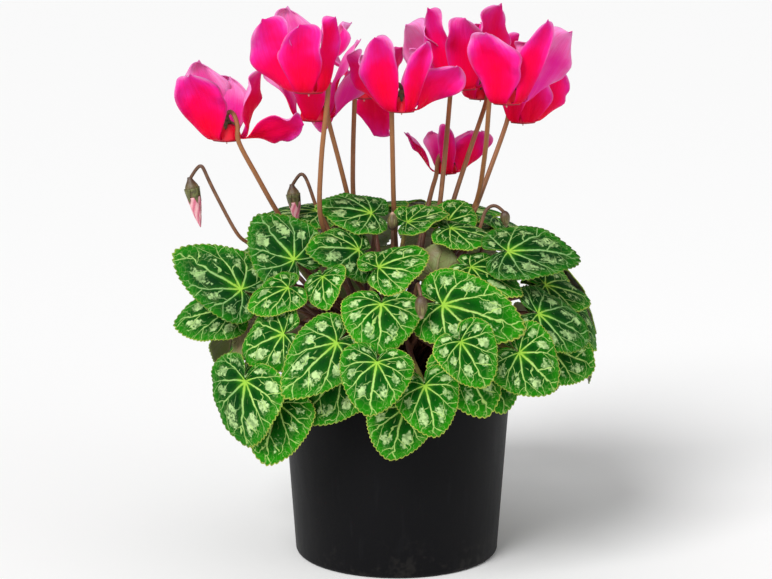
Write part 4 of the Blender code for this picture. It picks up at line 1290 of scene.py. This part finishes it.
class Signal:
    """An output of a node. A sum, product or share of it is a Math node."""

    def __init__(self, wires, socket):
        self.wires = wires
        self.socket = socket

    def __add__(self, other):
        return self.wires.math("ADD", self, other)

    def __sub__(self, other):
        return self.wires.math("SUBTRACT", self, other)

    def __mul__(self, other):
        return self.wires.math("MULTIPLY", self, other)

    def __truediv__(self, other):
        return self.wires.math("DIVIDE", self, other)

    def __abs__(self):
        return self.wires.math("ABSOLUTE", self)


class Wiring:
    """Short calls that build a node tree."""

    def __init__(self, tree):
        self.tree = tree

    def feed(self, socket, value):
        if isinstance(value, Signal):
            self.tree.links.new(value.socket, socket)
        else:
            socket.default_value = (*value, 1) if socket.type == "RGBA" else value

    def node(self, kind, inputs, **settings):
        """Add a node with its inputs fed by name or number, and return its outputs."""
        made = self.tree.nodes.new(kind)
        for name, value in settings.items():
            setattr(made, name, value)
        for label, value in dict(inputs).items():
            self.feed(made.inputs[label], value)
        return made.outputs

    def signal(self, output, kind, inputs, **settings):
        """One output of a new node."""
        return Signal(self, self.node(kind, inputs, **settings)[output])

    def signals(self, kind, inputs, **settings):
        """All outputs of a new node by their names."""
        return {socket.name: Signal(self, socket) for socket in self.node(kind, inputs, **settings)}

    def math(self, operation, *values, clamp=False):
        return self.signal(0, "ShaderNodeMath", enumerate(values), operation=operation, use_clamp=clamp)

    def mix(self, factor, first, second):
        inputs = {"Factor": factor, 6: first, 7: second}
        return self.signal(2, "ShaderNodeMix", inputs, data_type="RGBA")

    def rise(self, value, low, high, start=0.0, end=1.0):
        """A smooth step from start below low to end above high."""
        inputs = {"Value": value, "From Min": low, "From Max": high, "To Min": start, "To Max": end}
        return self.signal(0, "ShaderNodeMapRange", inputs, interpolation_type="SMOOTHSTEP")

    def fall(self, value, low, high):
        return self.rise(value, low, high, 1.0, 0.0)

    def noise(self, vector, scale, detail=2.0):
        return self.signal("Fac", "ShaderNodeTexNoise", {"Vector": vector, "Scale": scale, "Detail": detail})

    def stretch(self, vector, scale):
        return self.signal(0, "ShaderNodeMapping", {"Vector": vector, "Scale": scale})

    def streaks(self, vector, scale, detail=2.0):
        """Noise drawn out by a scale for each direction."""
        return self.noise(self.stretch(vector, scale), 1.0, detail)

    def parts(self, vector):
        return list(self.signals("ShaderNodeSeparateXYZ", {0: vector}).values())

    def group(self, tree, **inputs):
        return self.signals("ShaderNodeGroup", inputs, node_tree=tree)


class Skin(Wiring):
    """The wiring of a new material, with the places that its patterns read."""

    def __init__(self, name):
        self.material = bpy.data.materials.new(name)
        self.material.use_nodes = True
        super().__init__(self.material.node_tree)
        places = self.signals("ShaderNodeTexCoord", {})
        self.spot, self.uv = places["Object"], places["UV"]

    def look(self):
        """The three values that each leaf carries for its material."""
        return self.parts(self.signal("Vector", "ShaderNodeAttribute", {}, attribute_name="look"))

    def grain(self, scale, fineness):
        return self.group(grain_effect(), Place=self.spot, Scale=scale, Fineness=fineness)

    def blotches(self, scale, where, amount):
        return self.group(blotch_effect(), Place=self.spot, Scale=scale, Where=where, Amount=amount)["Mask"]

    def veins(self, spacing):
        return self.group(vein_effect(), Polar=self.uv, Place=self.spot, Length=27.0, Spacing=spacing)

    def bump(self, height, depth, strength):
        inputs = {"Height": height, "Distance": depth, "Strength": strength}
        return self.signal("Normal", "ShaderNodeBump", inputs)

    def finish(self, colour, roughness, normal=None, values=()):
        """Feed the material's shader and return the material."""
        shader = self.tree.nodes["Principled BSDF"]
        inputs = {"Base Color": colour, "Roughness": roughness, **dict(values)}
        if normal:
            inputs["Normal"] = normal
        for label, value in inputs.items():
            self.feed(shader.inputs[label], value)
        return self.material


def effect(name, inputs, outputs):
    """Makes the function below it the wiring of a shader node group, which is built once."""
    def decorate(wire):
        @lru_cache(maxsize=None)
        def group_tree():
            tree = bpy.data.node_groups.new(name, "ShaderNodeTree")
            for label in inputs:
                kind = "NodeSocketVector" if label in ("Place", "Polar") else "NodeSocketFloat"
                tree.interface.new_socket(label, in_out="INPUT", socket_type=kind)
            for label in outputs:
                tree.interface.new_socket(label, in_out="OUTPUT", socket_type="NodeSocketFloat")
            w = Wiring(tree)
            given = w.signals("NodeGroupInput", {})
            w.node("NodeGroupOutput", zip(outputs, wire(w, *(given[label] for label in inputs))))
            return tree
        return group_tree
    return decorate


@effect("Grain", ("Place", "Scale", "Fineness"), ("Height", "Tone"))
def grain_effect(w, spot, scale, fineness):
    """Fine and coarse unevenness for a Bump node and for small changes of tone."""
    coarse = w.noise(spot, scale, 3)
    return w.noise(spot, scale * 6.0) * fineness + coarse, w.rise(coarse, 0.3, 0.7)


@effect("Blotches", ("Place", "Scale", "Where", "Amount"), ("Mask",))
def blotch_effect(w, spot, scale, where, amount):
    """Torn-edged patches, from a coarse and a fine pattern. They grow where Where is near 1."""
    pattern = w.noise(spot, scale * 4.5) * 0.5 + w.noise(spot, scale, 3) * 0.5
    low = w.math("SUBTRACT", 0.745, where * (amount * 0.14 + 0.26))
    return [w.rise(pattern, low, low + 0.15)]


@effect("Leaf veins", ("Polar", "Place", "Length", "Spacing"), ("Main", "Glow", "Side", "Net", "Between"))
def vein_effect(w, polar, spot, length, spacing):
    """Veins of a leaf in polar places: U round the joint and V from joint to margin. Lengths in mm."""
    around, share, _ = w.parts(polar)
    wander = w.noise(spot, 105.0) - 0.5
    fine_wander = w.noise(spot, 420.0) - 0.5
    turn = wander * (share * 0.4 + 0.05) + (around - 0.5) * (-2 * BLADE_SPAN)
    # Main veins are numbered from the midrib. Off is how far a spot lies from the nearest, in numbers.
    order = turn * (share * (VEIN_BEND / VEIN_TURN) + 1 / VEIN_TURN)
    nearest = w.math("ROUND", order)
    off = order - nearest
    reach = share * length
    aside = abs(off) * VEIN_TURN * reach
    widths_off = aside / (share * -0.45 + (fine_wander * 0.9 + 0.9))
    main = w.fall(widths_off, 0.4, 1.15)
    glow = w.fall(widths_off, 0.8, 4.2)
    # Side veins are staggered on the two sides of a main vein
    stagger = w.math("GREATER_THAN", off, 0.0) * 0.5 + nearest * 0.31
    step = wander + (fine_wander * 0.16 + ((aside * -1.05 + reach) / spacing + stagger))
    side = w.fall(w.math("PINGPONG", step, 0.5) * spacing, 0.16, 0.5)
    side = side * w.rise(wander * 0.5 + share, 0.3, 0.46)
    # Fine rays run out to the margin, and a net fills what is left
    ray = turn * RAYS + (fine_wander * 1.6 + wander)
    rays = w.fall(w.math("PINGPONG", ray, 0.5) * (reach / RAYS), 0.08, 0.4)
    rays = rays * w.rise(fine_wander * 0.4 + share, 0.76, 0.9)
    cells = {"Vector": spot, "Scale": 290.0}
    net = w.fall(w.signal("Distance", "ShaderNodeTexVoronoi", cells, feature="DISTANCE_TO_EDGE"), 0.01, 0.1)
    return main, glow, w.math("MAXIMUM", side, rays * 0.55), net, w.rise(abs(off), 0.04, 0.36)


# In each material s is its settings and w its wiring

@lru_cache(maxsize=None)
def leaf_material():
    """Green blade: dark heart, bright margin, torn silver patches between pale veins, and painted shade that
    darkens one half.
    """
    s, w = bpy.context.scene.cyclamen_leaves, Skin("Leaf upper face")
    around, share, _ = w.parts(w.uv)
    tone, silver, half_shade = w.look()
    veins = w.veins(8.6)
    drift = w.noise(w.spot, 75.0, 3)
    wobble = drift * 0.3 + (share - 0.15)
    # Painted shade: one half of the blade is painted darker and the other lighter, by an amount that differs
    # from blade to blade, as light falls on the two sides of its fold
    half = w.rise(around, 0.47, 0.53, -0.5, 0.5)
    tone = half * (half_shade * 0.7 - 0.35) + tone
    tone = w.math("ADD", tone, drift * 0.8 - 0.4, clamp=True)
    colour = w.mix(tone, s.bright, s.dark)
    colour = w.mix(w.rise(wobble, 0.25, 0.6, 0.8, 0.0), colour, s.heart)
    colour = w.mix(w.rise(wobble, 0.7, 0.96) * (tone * -0.55 + 0.9), colour, s.margin)
    # The silver lies in a ring between the main veins
    ring = w.rise(wobble, 0.4, 0.58) * w.fall(wobble, 0.7, 0.94) * veins["Between"]
    thin = w.rise(w.noise(w.spot, 330.0), 0.36, 0.62, 0.4, 0.9)
    silver_tone = w.mix(w.rise(tone, 0.35, 1.0, 0.0, 0.6), s.silver, s.vein_old)
    colour = w.mix(w.blotches(170.0, ring, silver) * thin, colour, silver_tone)
    # The veins, palest where they meet, with light flanks
    colour = w.mix(veins["Net"] * w.rise(share, 0.4, 0.75, 0.0, 0.08), colour, s.vein)
    near_joint = w.fall(share, 0.06, 0.34)
    pale = w.mix(w.rise(tone, 0.3, 1.0), s.vein, s.vein_old)
    pale = w.mix(near_joint, pale, s.vein_joint)
    colour = w.mix(veins["Glow"] * (near_joint * 0.4 + 0.12), colour, s.glow)
    colour = w.mix(veins["Side"] * 0.8, colour, pale)
    colour = w.mix(veins["Main"] * w.rise(share, 0.6, 1.0, 0.95, 0.6), colour, pale)
    young = w.math("SUBTRACT", 1.1, tone, clamp=True)
    colour = w.mix(w.rise(share, 0.965, 1.0) * young, colour, s.tooth)
    grain = w.grain(900.0, 0.3)
    sunk = veins["Net"] * -0.2 + (veins["Side"] * -0.5 - veins["Main"])
    normal = w.bump(grain["Height"] * 0.25 + sunk, 0.5 * MM, 1.0)
    return w.finish(colour, grain["Tone"] * 0.12 + 0.52, normal, {"Specular IOR Level": 0.04})


@lru_cache(maxsize=None)
def underside_material():
    """Olive underside, flushed red-brown, with raised veins."""
    s, w = bpy.context.scene.cyclamen_leaves, Skin("Leaf underside")
    share = w.parts(w.uv)[1]
    veins = w.veins(4.4)
    colour = w.mix(w.rise(w.noise(w.spot, 45.0, 3), 0.42, 0.62), s.under, s.under_flush)
    colour = w.mix(w.rise(share, 0.7, 1.0), colour, s.under)
    colour = w.mix(veins["Main"] * 0.6, colour, s.under_vein)
    colour = w.mix(veins["Side"] * 0.35, colour, s.under_vein)
    grain = w.grain(900.0, 0.3)
    raised = veins["Side"] * 0.5 + veins["Main"]
    normal = w.bump(grain["Height"] * 0.2 + raised, 0.4 * MM, 0.8)
    return w.finish(colour, grain["Tone"] * 0.12 + 0.5, normal)


@lru_cache(maxsize=None)
def petal_material(name, reverse):
    """Satin petal: crimson at the root and along the middle, lilac pink toward the edges, with fine veins."""
    s, w = bpy.context.scene.cyclamen_petals, Skin(name)
    across, share, _ = w.parts(w.uv)
    aside = abs(across * 2.0 - 1.0)
    streak = w.streaks(w.uv, (34, 2, 1))
    vary = streak * 0.16 + (w.noise(w.spot, 62.0) * 0.7 - 0.43)
    outward = w.math("POWER", aside, 2.0) * 0.34 + (share + vary)
    if reverse:
        colour = w.mix(w.rise(outward, 0.0, 0.5), s.face, s.blush)
        colour = w.mix(w.rise(outward, 0.45, 1.05), colour, s.pale)
    else:
        colour = w.mix(w.rise(outward, 0.2, 0.85), s.deep, s.face)
        colour = w.mix(w.rise(outward, 0.58, 1.0), colour, s.blush)
        colour = w.mix(w.rise(outward, 0.88, 1.3, 0.0, 0.9), colour, s.pale)
    colour = w.mix(w.rise(share, 0.0, 0.1, 0.75, 0.0), colour, s.throat)
    rim = w.rise(aside, 0.9, 1.0) * w.rise(share, 0.3, 0.75)
    colour = w.mix(rim * 0.35, colour, s.pale)
    lines = w.rise(w.streaks(w.uv, (70, 3, 1), 1), 0.5, 0.68)
    colour = w.mix(lines * w.rise(share, 0.1, 0.6, 0.1, 0.28), colour, s.face)
    satin = {"Specular IOR Level": 0.05, "Subsurface Weight": 0.35, "Subsurface Radius": (1.0, 0.25, 0.5),
             "Subsurface Scale": 2 * MM}
    return w.finish(colour, streak * 0.2 + 0.44, w.bump(lines * 0.6 + streak, 0.3 * MM, 0.6), satin)


@lru_cache(maxsize=None)
def cup_material():
    """Dark at the mouth, crimson above it."""
    s, w = bpy.context.scene.cyclamen_petals, Skin("Flower cup")
    streak = w.streaks(w.uv, (60, 2, 1))
    colour = w.mix(w.rise(w.parts(w.uv)[1], 0.0, 0.3), s.throat, s.deep)
    colour = w.mix(w.rise(streak, 0.5, 0.75) * 0.4, colour, s.face)
    return w.finish(colour, 0.45, w.bump(streak, 0.3 * MM, 0.5))


@lru_cache(maxsize=None)
def bud_material():
    """Brown sepals with green streaks and a pale tip."""
    w = Skin("Bud sepals")
    along = w.parts(w.uv)[0]
    streak = w.rise(w.streaks(w.uv, (2, 18, 1)), 0.46, 0.66)
    colour = w.mix(w.rise(along, 0.05, 0.45), (0.06, 0.026, 0.018), (0.11, 0.08, 0.03))
    colour = w.mix(streak * w.rise(along, 0.2, 0.5, 0.1, 0.75), colour, (0.3, 0.3, 0.1))
    colour = w.mix(w.blotches(420.0, 0.8, 0.5) * 0.3, colour, (0.24, 0.17, 0.09))
    colour = w.mix(w.rise(along, 0.8, 1.0), colour, (0.62, 0.4, 0.3))
    return w.finish(colour, 0.5, w.bump(w.noise(w.spot, 1100.0), 0.2 * MM, 0.6))


@lru_cache(maxsize=None)
def bud_petal_material():
    """Pale rolled petals with darker folds that wind round them."""
    s, w = bpy.context.scene.cyclamen_petals, Skin("Rolled bud petals")
    along, around, _ = w.parts(w.uv)
    spiral = w.math("PINGPONG", along * 2.0 + around * 5.0, 0.5)
    colour = w.mix(w.rise(spiral, 0.05, 0.4), s.bud_fold, s.bud)
    colour = w.mix(w.rise(along, 0.6, 1.0, 0.0, 0.6), colour, s.bud_fold)
    return w.finish(colour, 0.45, w.bump(w.streaks(w.uv, (4, 60, 1)), 0.2 * MM, 0.5))


@lru_cache(maxsize=None)
def stalk_material(name):
    """Skin of the stalks: leaf stalks turn green near the blade, the others turn brown toward the hook."""
    s, w = bpy.context.scene.cyclamen_stalks, Skin(f"Skin of {name}")
    middle, from_foot, end, to_end = {
        "leaf_stalks": (s.leaf_stalk, (0.1, 0.7), s.leaf_joint, (0.72, 1.0)),
        "flower_stalks": (s.flower_stalk, (0.2, 0.5), s.hook, (0.72, 0.93)),
        "bud_stalks": (s.flower_stalk, (0.2, 0.5), s.hook, (0.2, 0.75)),
    }[name]
    along = w.parts(w.uv)[0]
    streak = w.streaks(w.uv, (9, 26, 1), 3)
    mottle = w.noise(w.spot, 260.0, 3)
    colour = w.mix(w.rise(along, *from_foot), s.root, middle)
    colour = w.mix(w.rise(along, *to_end), colour, end)
    colour = w.mix(w.rise(streak, 0.5, 0.75) * 0.45, colour, s.root)
    colour = w.mix(w.rise(mottle, 0.5, 0.75) * 0.3, colour, s.light)
    return w.finish(colour, mottle * 0.2 + 0.36, w.bump(streak, 0.25 * MM, 0.6))


@lru_cache(maxsize=None)
def pot_material():
    """Black moulded plastic with faint upright streaks, partly scuffs and partly painted sheen, and dust at
    the foot.
    """
    s, w = bpy.context.scene.cyclamen_pot, Skin("Black moulded plastic")
    scuff_and_sheen = w.noise(w.stretch(w.spot, (1, 1, 0.12)), 260.0, 3)
    near_foot = w.rise(w.parts(w.spot)[2], 0.0, 0.03, 0.5, 0.0)
    # Painted sheen: the lighter upright streaks stand partly for scuffs and partly for light glancing off the
    # plastic
    colour = w.mix(w.rise(scuff_and_sheen, 0.55, 0.8) * 0.35, s.colour, s.scuff_and_sheen)
    colour = w.mix(near_foot * w.blotches(60.0, 0.8, 0.2), colour, s.dust)
    normal = w.bump(w.grain(1400.0, 0.6)["Height"], 0.08 * MM, 0.6)
    return w.finish(colour, scuff_and_sheen * 0.16 + (s.roughness - 0.08), normal, {"Specular IOR Level": 0.12})


# Dark and light tone, roughness, scale of the grain, its depth in millimetres and its fineness
PLAIN_SURFACES = {
    "Style": ((0.7, 0.3, 0.3), (0.85, 0.55, 0.5), 0.45, 900.0, 0.1, 0.5),
    "Anthers": ((0.35, 0.16, 0.03), (0.6, 0.38, 0.08), 0.7, 1500.0, 0.15, 0.5),
    "Sepals": ((0.06, 0.05, 0.02), (0.16, 0.17, 0.05), 0.5, 500.0, 0.2, 0.5),
    "Peat": ((0.012, 0.008, 0.006), (0.06, 0.036, 0.022), 0.92, 380.0, 0.9, 0.9),
    "White grains": ((0.45, 0.42, 0.36), (0.75, 0.72, 0.66), 0.85, 900.0, 0.3, 0.5),
    "Corky tuber": ((0.045, 0.024, 0.014), (0.16, 0.09, 0.05), 0.85, 320.0, 0.6, 0.9),
}


@lru_cache(maxsize=None)
def plain_material(name):
    """A surface that varies from dark to light with its grain."""
    dark, light, roughness, scale, depth, fineness = PLAIN_SURFACES[name]
    w = Skin(name)
    grain = w.grain(scale, fineness)
    normal = w.bump(grain["Height"], depth * MM, 0.7)
    return w.finish(w.mix(grain["Tone"], dark, light), grain["Tone"] * 0.15 + (roughness - 0.07), normal)


# Floor, lights and camera

def lay_floor():
    skin = Skin("Pale floor").finish((0.97, 0.97, 0.97), 0.9, None, {"Specular IOR Level": 0.05})
    shape = bmesh.new()
    bmesh.ops.create_circle(shape, cap_ends=True, segments=64, radius=FLOOR_RADIUS)
    add_mesh("floor", shape, [skin])


def aim(made, where):
    """Stand a light at a place and turn it to the plant's middle."""
    made.location = where
    made.rotation_euler = (Vector(PLANT_MIDDLE) - made.location).to_track_quat("-Z", "Y").to_euler()


def set_lights(settings):
    key = bpy.data.lights.new("key_light", "SUN")
    key.energy = settings.key
    key.angle = KEY_ANGLE
    aim(add_object(key.name, key), KEY_PLACE)
    fill = bpy.data.lights.new("fill_light", "AREA")
    fill.shape = "DISK"
    fill.size = FILL_SIZE
    fill.energy = settings.fill_power
    aim(add_object(fill.name, fill), FILL_PLACE)
    world = bpy.data.worlds.new("Studio")
    world.use_nodes = True
    background = world.node_tree.nodes["Background"].inputs
    background["Color"].default_value = (1, 1, 1, 1)
    background["Strength"].default_value = settings.sky
    bpy.context.scene.world = world
    bpy.context.scene.view_settings.view_transform = "Standard"


def set_camera():
    lens = bpy.data.cameras.new("camera")
    lens.lens = CAMERA_LENS
    camera = add_object("camera", lens)
    camera.location = CAMERA_PLACE
    camera.rotation_euler = (radians(90 - CAMERA_DOWN), 0, 0)
    bpy.context.scene.camera = camera


# Settings that a user would change

def colour(name, value, description):
    return FloatVectorProperty(name=name, description=description, subtype="COLOR", size=3, min=0, max=1,
                               default=value)


def stalk_radius(name, value, description):
    return FloatProperty(name=name, description=description, default=value, subtype="DISTANCE", unit="LENGTH",
                         min=0.5 * MM, max=3 * MM)


class CyclamenLeaves(bpy.types.PropertyGroup):
    teeth: IntProperty(name="Teeth", description="Pointed teeth round each blade", default=58, min=12, max=80)
    tooth_depth: FloatProperty(name="Tooth depth", description="Depth of a tooth as a share of the blade",
                               default=0.04, min=0, max=0.1, subtype="FACTOR")
    bright: colour("Bright ground", (0.003, 0.12, 0.0015), "Ground colour of the young blades")
    dark: colour("Dark ground", (0.003, 0.035, 0.006), "Ground colour of the old bluish blades")
    heart: colour("Heart", (0.001, 0.03, 0.003), "Dark middle between the veins")
    margin: colour("Margin", (0.02, 0.28, 0.002), "Bright zone along the margin")
    silver: colour("Silver", (0.58, 0.8, 0.34), "Silver patches")
    vein: colour("Veins", (0.48, 0.74, 0.19), "Veins toward the margin")
    vein_old: colour("Veins of old blades", (0.25, 0.47, 0.16), "Veins of the dark blades toward the margin")
    vein_joint: colour("Veins at the joint", (0.33, 0.6, 0.06), "Veins where they meet")
    glow: colour("Vein flanks", (0.05, 0.34, 0.012), "Light green flanks of the veins")
    tooth: colour("Teeth", (0.62, 0.7, 0.12), "Tips of the teeth")
    under: colour("Underside", (0.2, 0.24, 0.07), "Ground colour of the underside")
    under_flush: colour("Underside flush", (0.22, 0.13, 0.08), "Red-brown flush of the underside")
    under_vein: colour("Underside veins", (0.3, 0.24, 0.12), "Raised veins of the underside")


class CyclamenPetals(bpy.types.PropertyGroup):
    throat: colour("Throat", (0.3, 0.0, 0.015), "Round the mouth")
    deep: colour("Deep", (0.92, 0.0, 0.03), "Root and middle of the petals")
    face: colour("Face", (0.95, 0.0, 0.12), "The petals' main colour")
    blush: colour("Blush", (0.86, 0.02, 0.33), "Toward the edges")
    pale: colour("Pale", (0.86, 0.3, 0.6), "Edges and curled tips")
    bud: colour("Bud petals", (0.8, 0.42, 0.45), "Rolled petals of the buds")
    bud_fold: colour("Bud folds", (0.62, 0.14, 0.22), "Folds between the rolled petals")


class CyclamenStalks(bpy.types.PropertyGroup):
    leaf_radius: stalk_radius("Leaf stalk", LEAF_STALK_RADIUS, "Radius of a leaf stalk at the blade")
    flower_radius: stalk_radius("Flower stalk", FLOWER_STALK_RADIUS, "Radius of a flower stalk at its foot")
    root: colour("Foot", (0.055, 0.02, 0.014), "Dark foot of every stalk")
    leaf_stalk: colour("Leaf stalk", (0.15, 0.055, 0.03), "Middle of the leaf stalks")
    leaf_joint: colour("Leaf joint", (0.18, 0.2, 0.03), "Leaf stalks at the blade")
    flower_stalk: colour("Flower stalk", (0.31, 0.12, 0.035), "Middle of the flower stalks")
    hook: colour("Hook", (0.12, 0.055, 0.028), "Hook under the flower")
    light: colour("Light flecks", (0.42, 0.2, 0.075), "Light flecks of the skin")


class CyclamenPot(bpy.types.PropertyGroup):
    colour: colour("Plastic", (0.0022, 0.0022, 0.003), "The pot's plastic")
    # Lighter upright streaks: partly scuffs, partly painted sheen
    scuff_and_sheen: colour("Scuffs", (0.009, 0.009, 0.011), "Faint scuffs")
    dust: colour("Dust", (0.022, 0.02, 0.018), "Dust near the foot")
    roughness: FloatProperty(name="Roughness", description="Roughness of the plastic", default=0.5, min=0,
                             max=1, subtype="FACTOR")


class CyclamenStage(bpy.types.PropertyGroup):
    key: FloatProperty(name="Key light", description="Strength of the soft light from the upper left",
                       default=2.7, min=0)
    fill_power: FloatProperty(name="Fill light", description="Power of the light from the right", default=2,
                              min=0, subtype="POWER", unit="POWER")
    sky: FloatProperty(name="Sky", description="Light from the white surroundings", default=0.45, min=0)


# Operators, one for each piece or group of like pieces

class CYCLAMEN_OT_pot(bpy.types.Operator):
    """Turn the pot"""
    bl_idname = "cyclamen.pot"
    bl_label = "Pot"

    def execute(self, context):
        make_pot()
        return {"FINISHED"}


class CYCLAMEN_OT_soil(bpy.types.Operator):
    """Lay the lumpy soil and its crumbs"""
    bl_idname = "cyclamen.soil"
    bl_label = "Soil"

    def execute(self, context):
        make_soil()
        return {"FINISHED"}


class CYCLAMEN_OT_stalks(bpy.types.Operator):
    """Grow the tuber, the leaf stalks, the flower stalks and the calyxes"""
    bl_idname = "cyclamen.stalks"
    bl_label = "Tuber and stalks"

    def execute(self, context):
        s, laid = context.scene.cyclamen_stalks, plant()
        leaf, flower = s.leaf_radius, s.flower_radius
        leaf_ends = into_blades(laid.leaf_routes + laid.filling_routes, laid.blades + laid.filling)
        bud_ends = [route[:-1] for route in laid.bud_routes]
        make_tuber()
        make_stalks("leaf_stalks", leaf_ends, 1.25 * leaf, leaf, 4, STALK_SIDES)
        make_stalks("flower_stalks", laid.flower_routes, flower, 0.75 * flower, 5,
                    FLOWER_STALK_SIDES)
        make_stalks("bud_stalks", bud_ends, 0.85 * BUD_STALK_RADIUS, 0.7 * BUD_STALK_RADIUS, 4,
                    STALK_SIDES, 8)
        make_receptacles()
        make_calyxes()
        return {"FINISHED"}


class CYCLAMEN_OT_leaves(bpy.types.Operator):
    """Grow a veined blade in the place of each leaf"""
    bl_idname = "cyclamen.leaves"
    bl_label = "Leaves"

    def execute(self, context):
        draw = Random(21)
        for index, (leaf, blade) in enumerate(zip(LEAVES, plant().blades)):
            look = LEAF_LOOKS.get(index + 1, any_look(draw))
            make_leaf(f"veined_leaf_{index + 1:02d}", leaf, index, blade, look, [f"leaf_{index + 1:02d}"])
        return {"FINISHED"}


class CYCLAMEN_OT_filling_leaves(bpy.types.Operator):
    """Grow the further blades of the far side"""
    bl_idname = "cyclamen.filling_leaves"
    bl_label = "Far leaves"

    def execute(self, context):
        draw = Random(22)
        for index, (leaf, blade) in enumerate(zip(FILLING_LEAVES, plant().filling), len(LEAVES)):
            make_leaf(f"far_leaf_{index + 1:02d}", leaf, index, blade, any_look(draw))
        return {"FINISHED"}


class CYCLAMEN_OT_blooms(bpy.types.Operator):
    """Open the flowers, each with its petals, cup and heart"""
    bl_idname = "cyclamen.blooms"
    bl_label = "Flowers"

    def execute(self, context):
        for number, flower in enumerate(FLOWERS, 1):
            make_bloom(number, flower)
        make_flower_hearts()
        return {"FINISHED"}


class CYCLAMEN_OT_buds(bpy.types.Operator):
    """Hang the closed buds, two of them with pink showing"""
    bl_idname = "cyclamen.buds"
    bl_label = "Buds"

    def execute(self, context):
        make_buds()
        make_bud_petals()
        return {"FINISHED"}


class CYCLAMEN_OT_stage(bpy.types.Operator):
    """Set the pale floor, the soft lights and the camera"""
    bl_idname = "cyclamen.stage"
    bl_label = "Stage"

    def execute(self, context):
        lay_floor()
        set_lights(context.scene.cyclamen_stage)
        set_camera()
        return {"FINISHED"}


class CYCLAMEN_PT_panel(bpy.types.Panel):
    bl_label = "Cyclamen"
    bl_idname = "CYCLAMEN_PT_panel"
    bl_space_type = "VIEW_3D"
    bl_region_type = "UI"
    bl_category = "Cyclamen"

    def draw(self, context):
        for operator, settings in PANEL_ROWS:
            self.layout.operator(operator.bl_idname)
            if settings:
                group = getattr(context.scene, settings)
                for name in group.__annotations__:
                    self.layout.prop(group, name)


PANEL_ROWS = (
    (CYCLAMEN_OT_stage, "cyclamen_stage"),
    (CYCLAMEN_OT_pot, "cyclamen_pot"),
    (CYCLAMEN_OT_soil, None),
    (CYCLAMEN_OT_stalks, "cyclamen_stalks"),
    (CYCLAMEN_OT_leaves, "cyclamen_leaves"),
    (CYCLAMEN_OT_filling_leaves, None),
    (CYCLAMEN_OT_blooms, "cyclamen_petals"),
    (CYCLAMEN_OT_buds, None),
)
GROUPS = {
    "cyclamen_leaves": CyclamenLeaves,
    "cyclamen_petals": CyclamenPetals,
    "cyclamen_stalks": CyclamenStalks,
    "cyclamen_pot": CyclamenPot,
    "cyclamen_stage": CyclamenStage,
}


def register():
    for name, group in GROUPS.items():
        bpy.utils.register_class(group)
        setattr(bpy.types.Scene, name, PointerProperty(type=group))
    for operator, _ in PANEL_ROWS:
        bpy.utils.register_class(operator)
    bpy.utils.register_class(CYCLAMEN_PT_panel)


def unregister():
    bpy.utils.unregister_class(CYCLAMEN_PT_panel)
    for operator, _ in PANEL_ROWS:
        bpy.utils.unregister_class(operator)
    for name, group in GROUPS.items():
        delattr(bpy.types.Scene, name)
        bpy.utils.unregister_class(group)


def main():
    register()
    bpy.ops.cyclamen.stage()
    bpy.ops.cyclamen.pot()
    bpy.ops.cyclamen.soil()
    bpy.ops.cyclamen.stalks()
    bpy.ops.cyclamen.leaves()
    bpy.ops.cyclamen.filling_leaves()
    bpy.ops.cyclamen.blooms()
    bpy.ops.cyclamen.buds()
    bpy.context.view_layer.update()


if __name__ == "__main__":
    main()
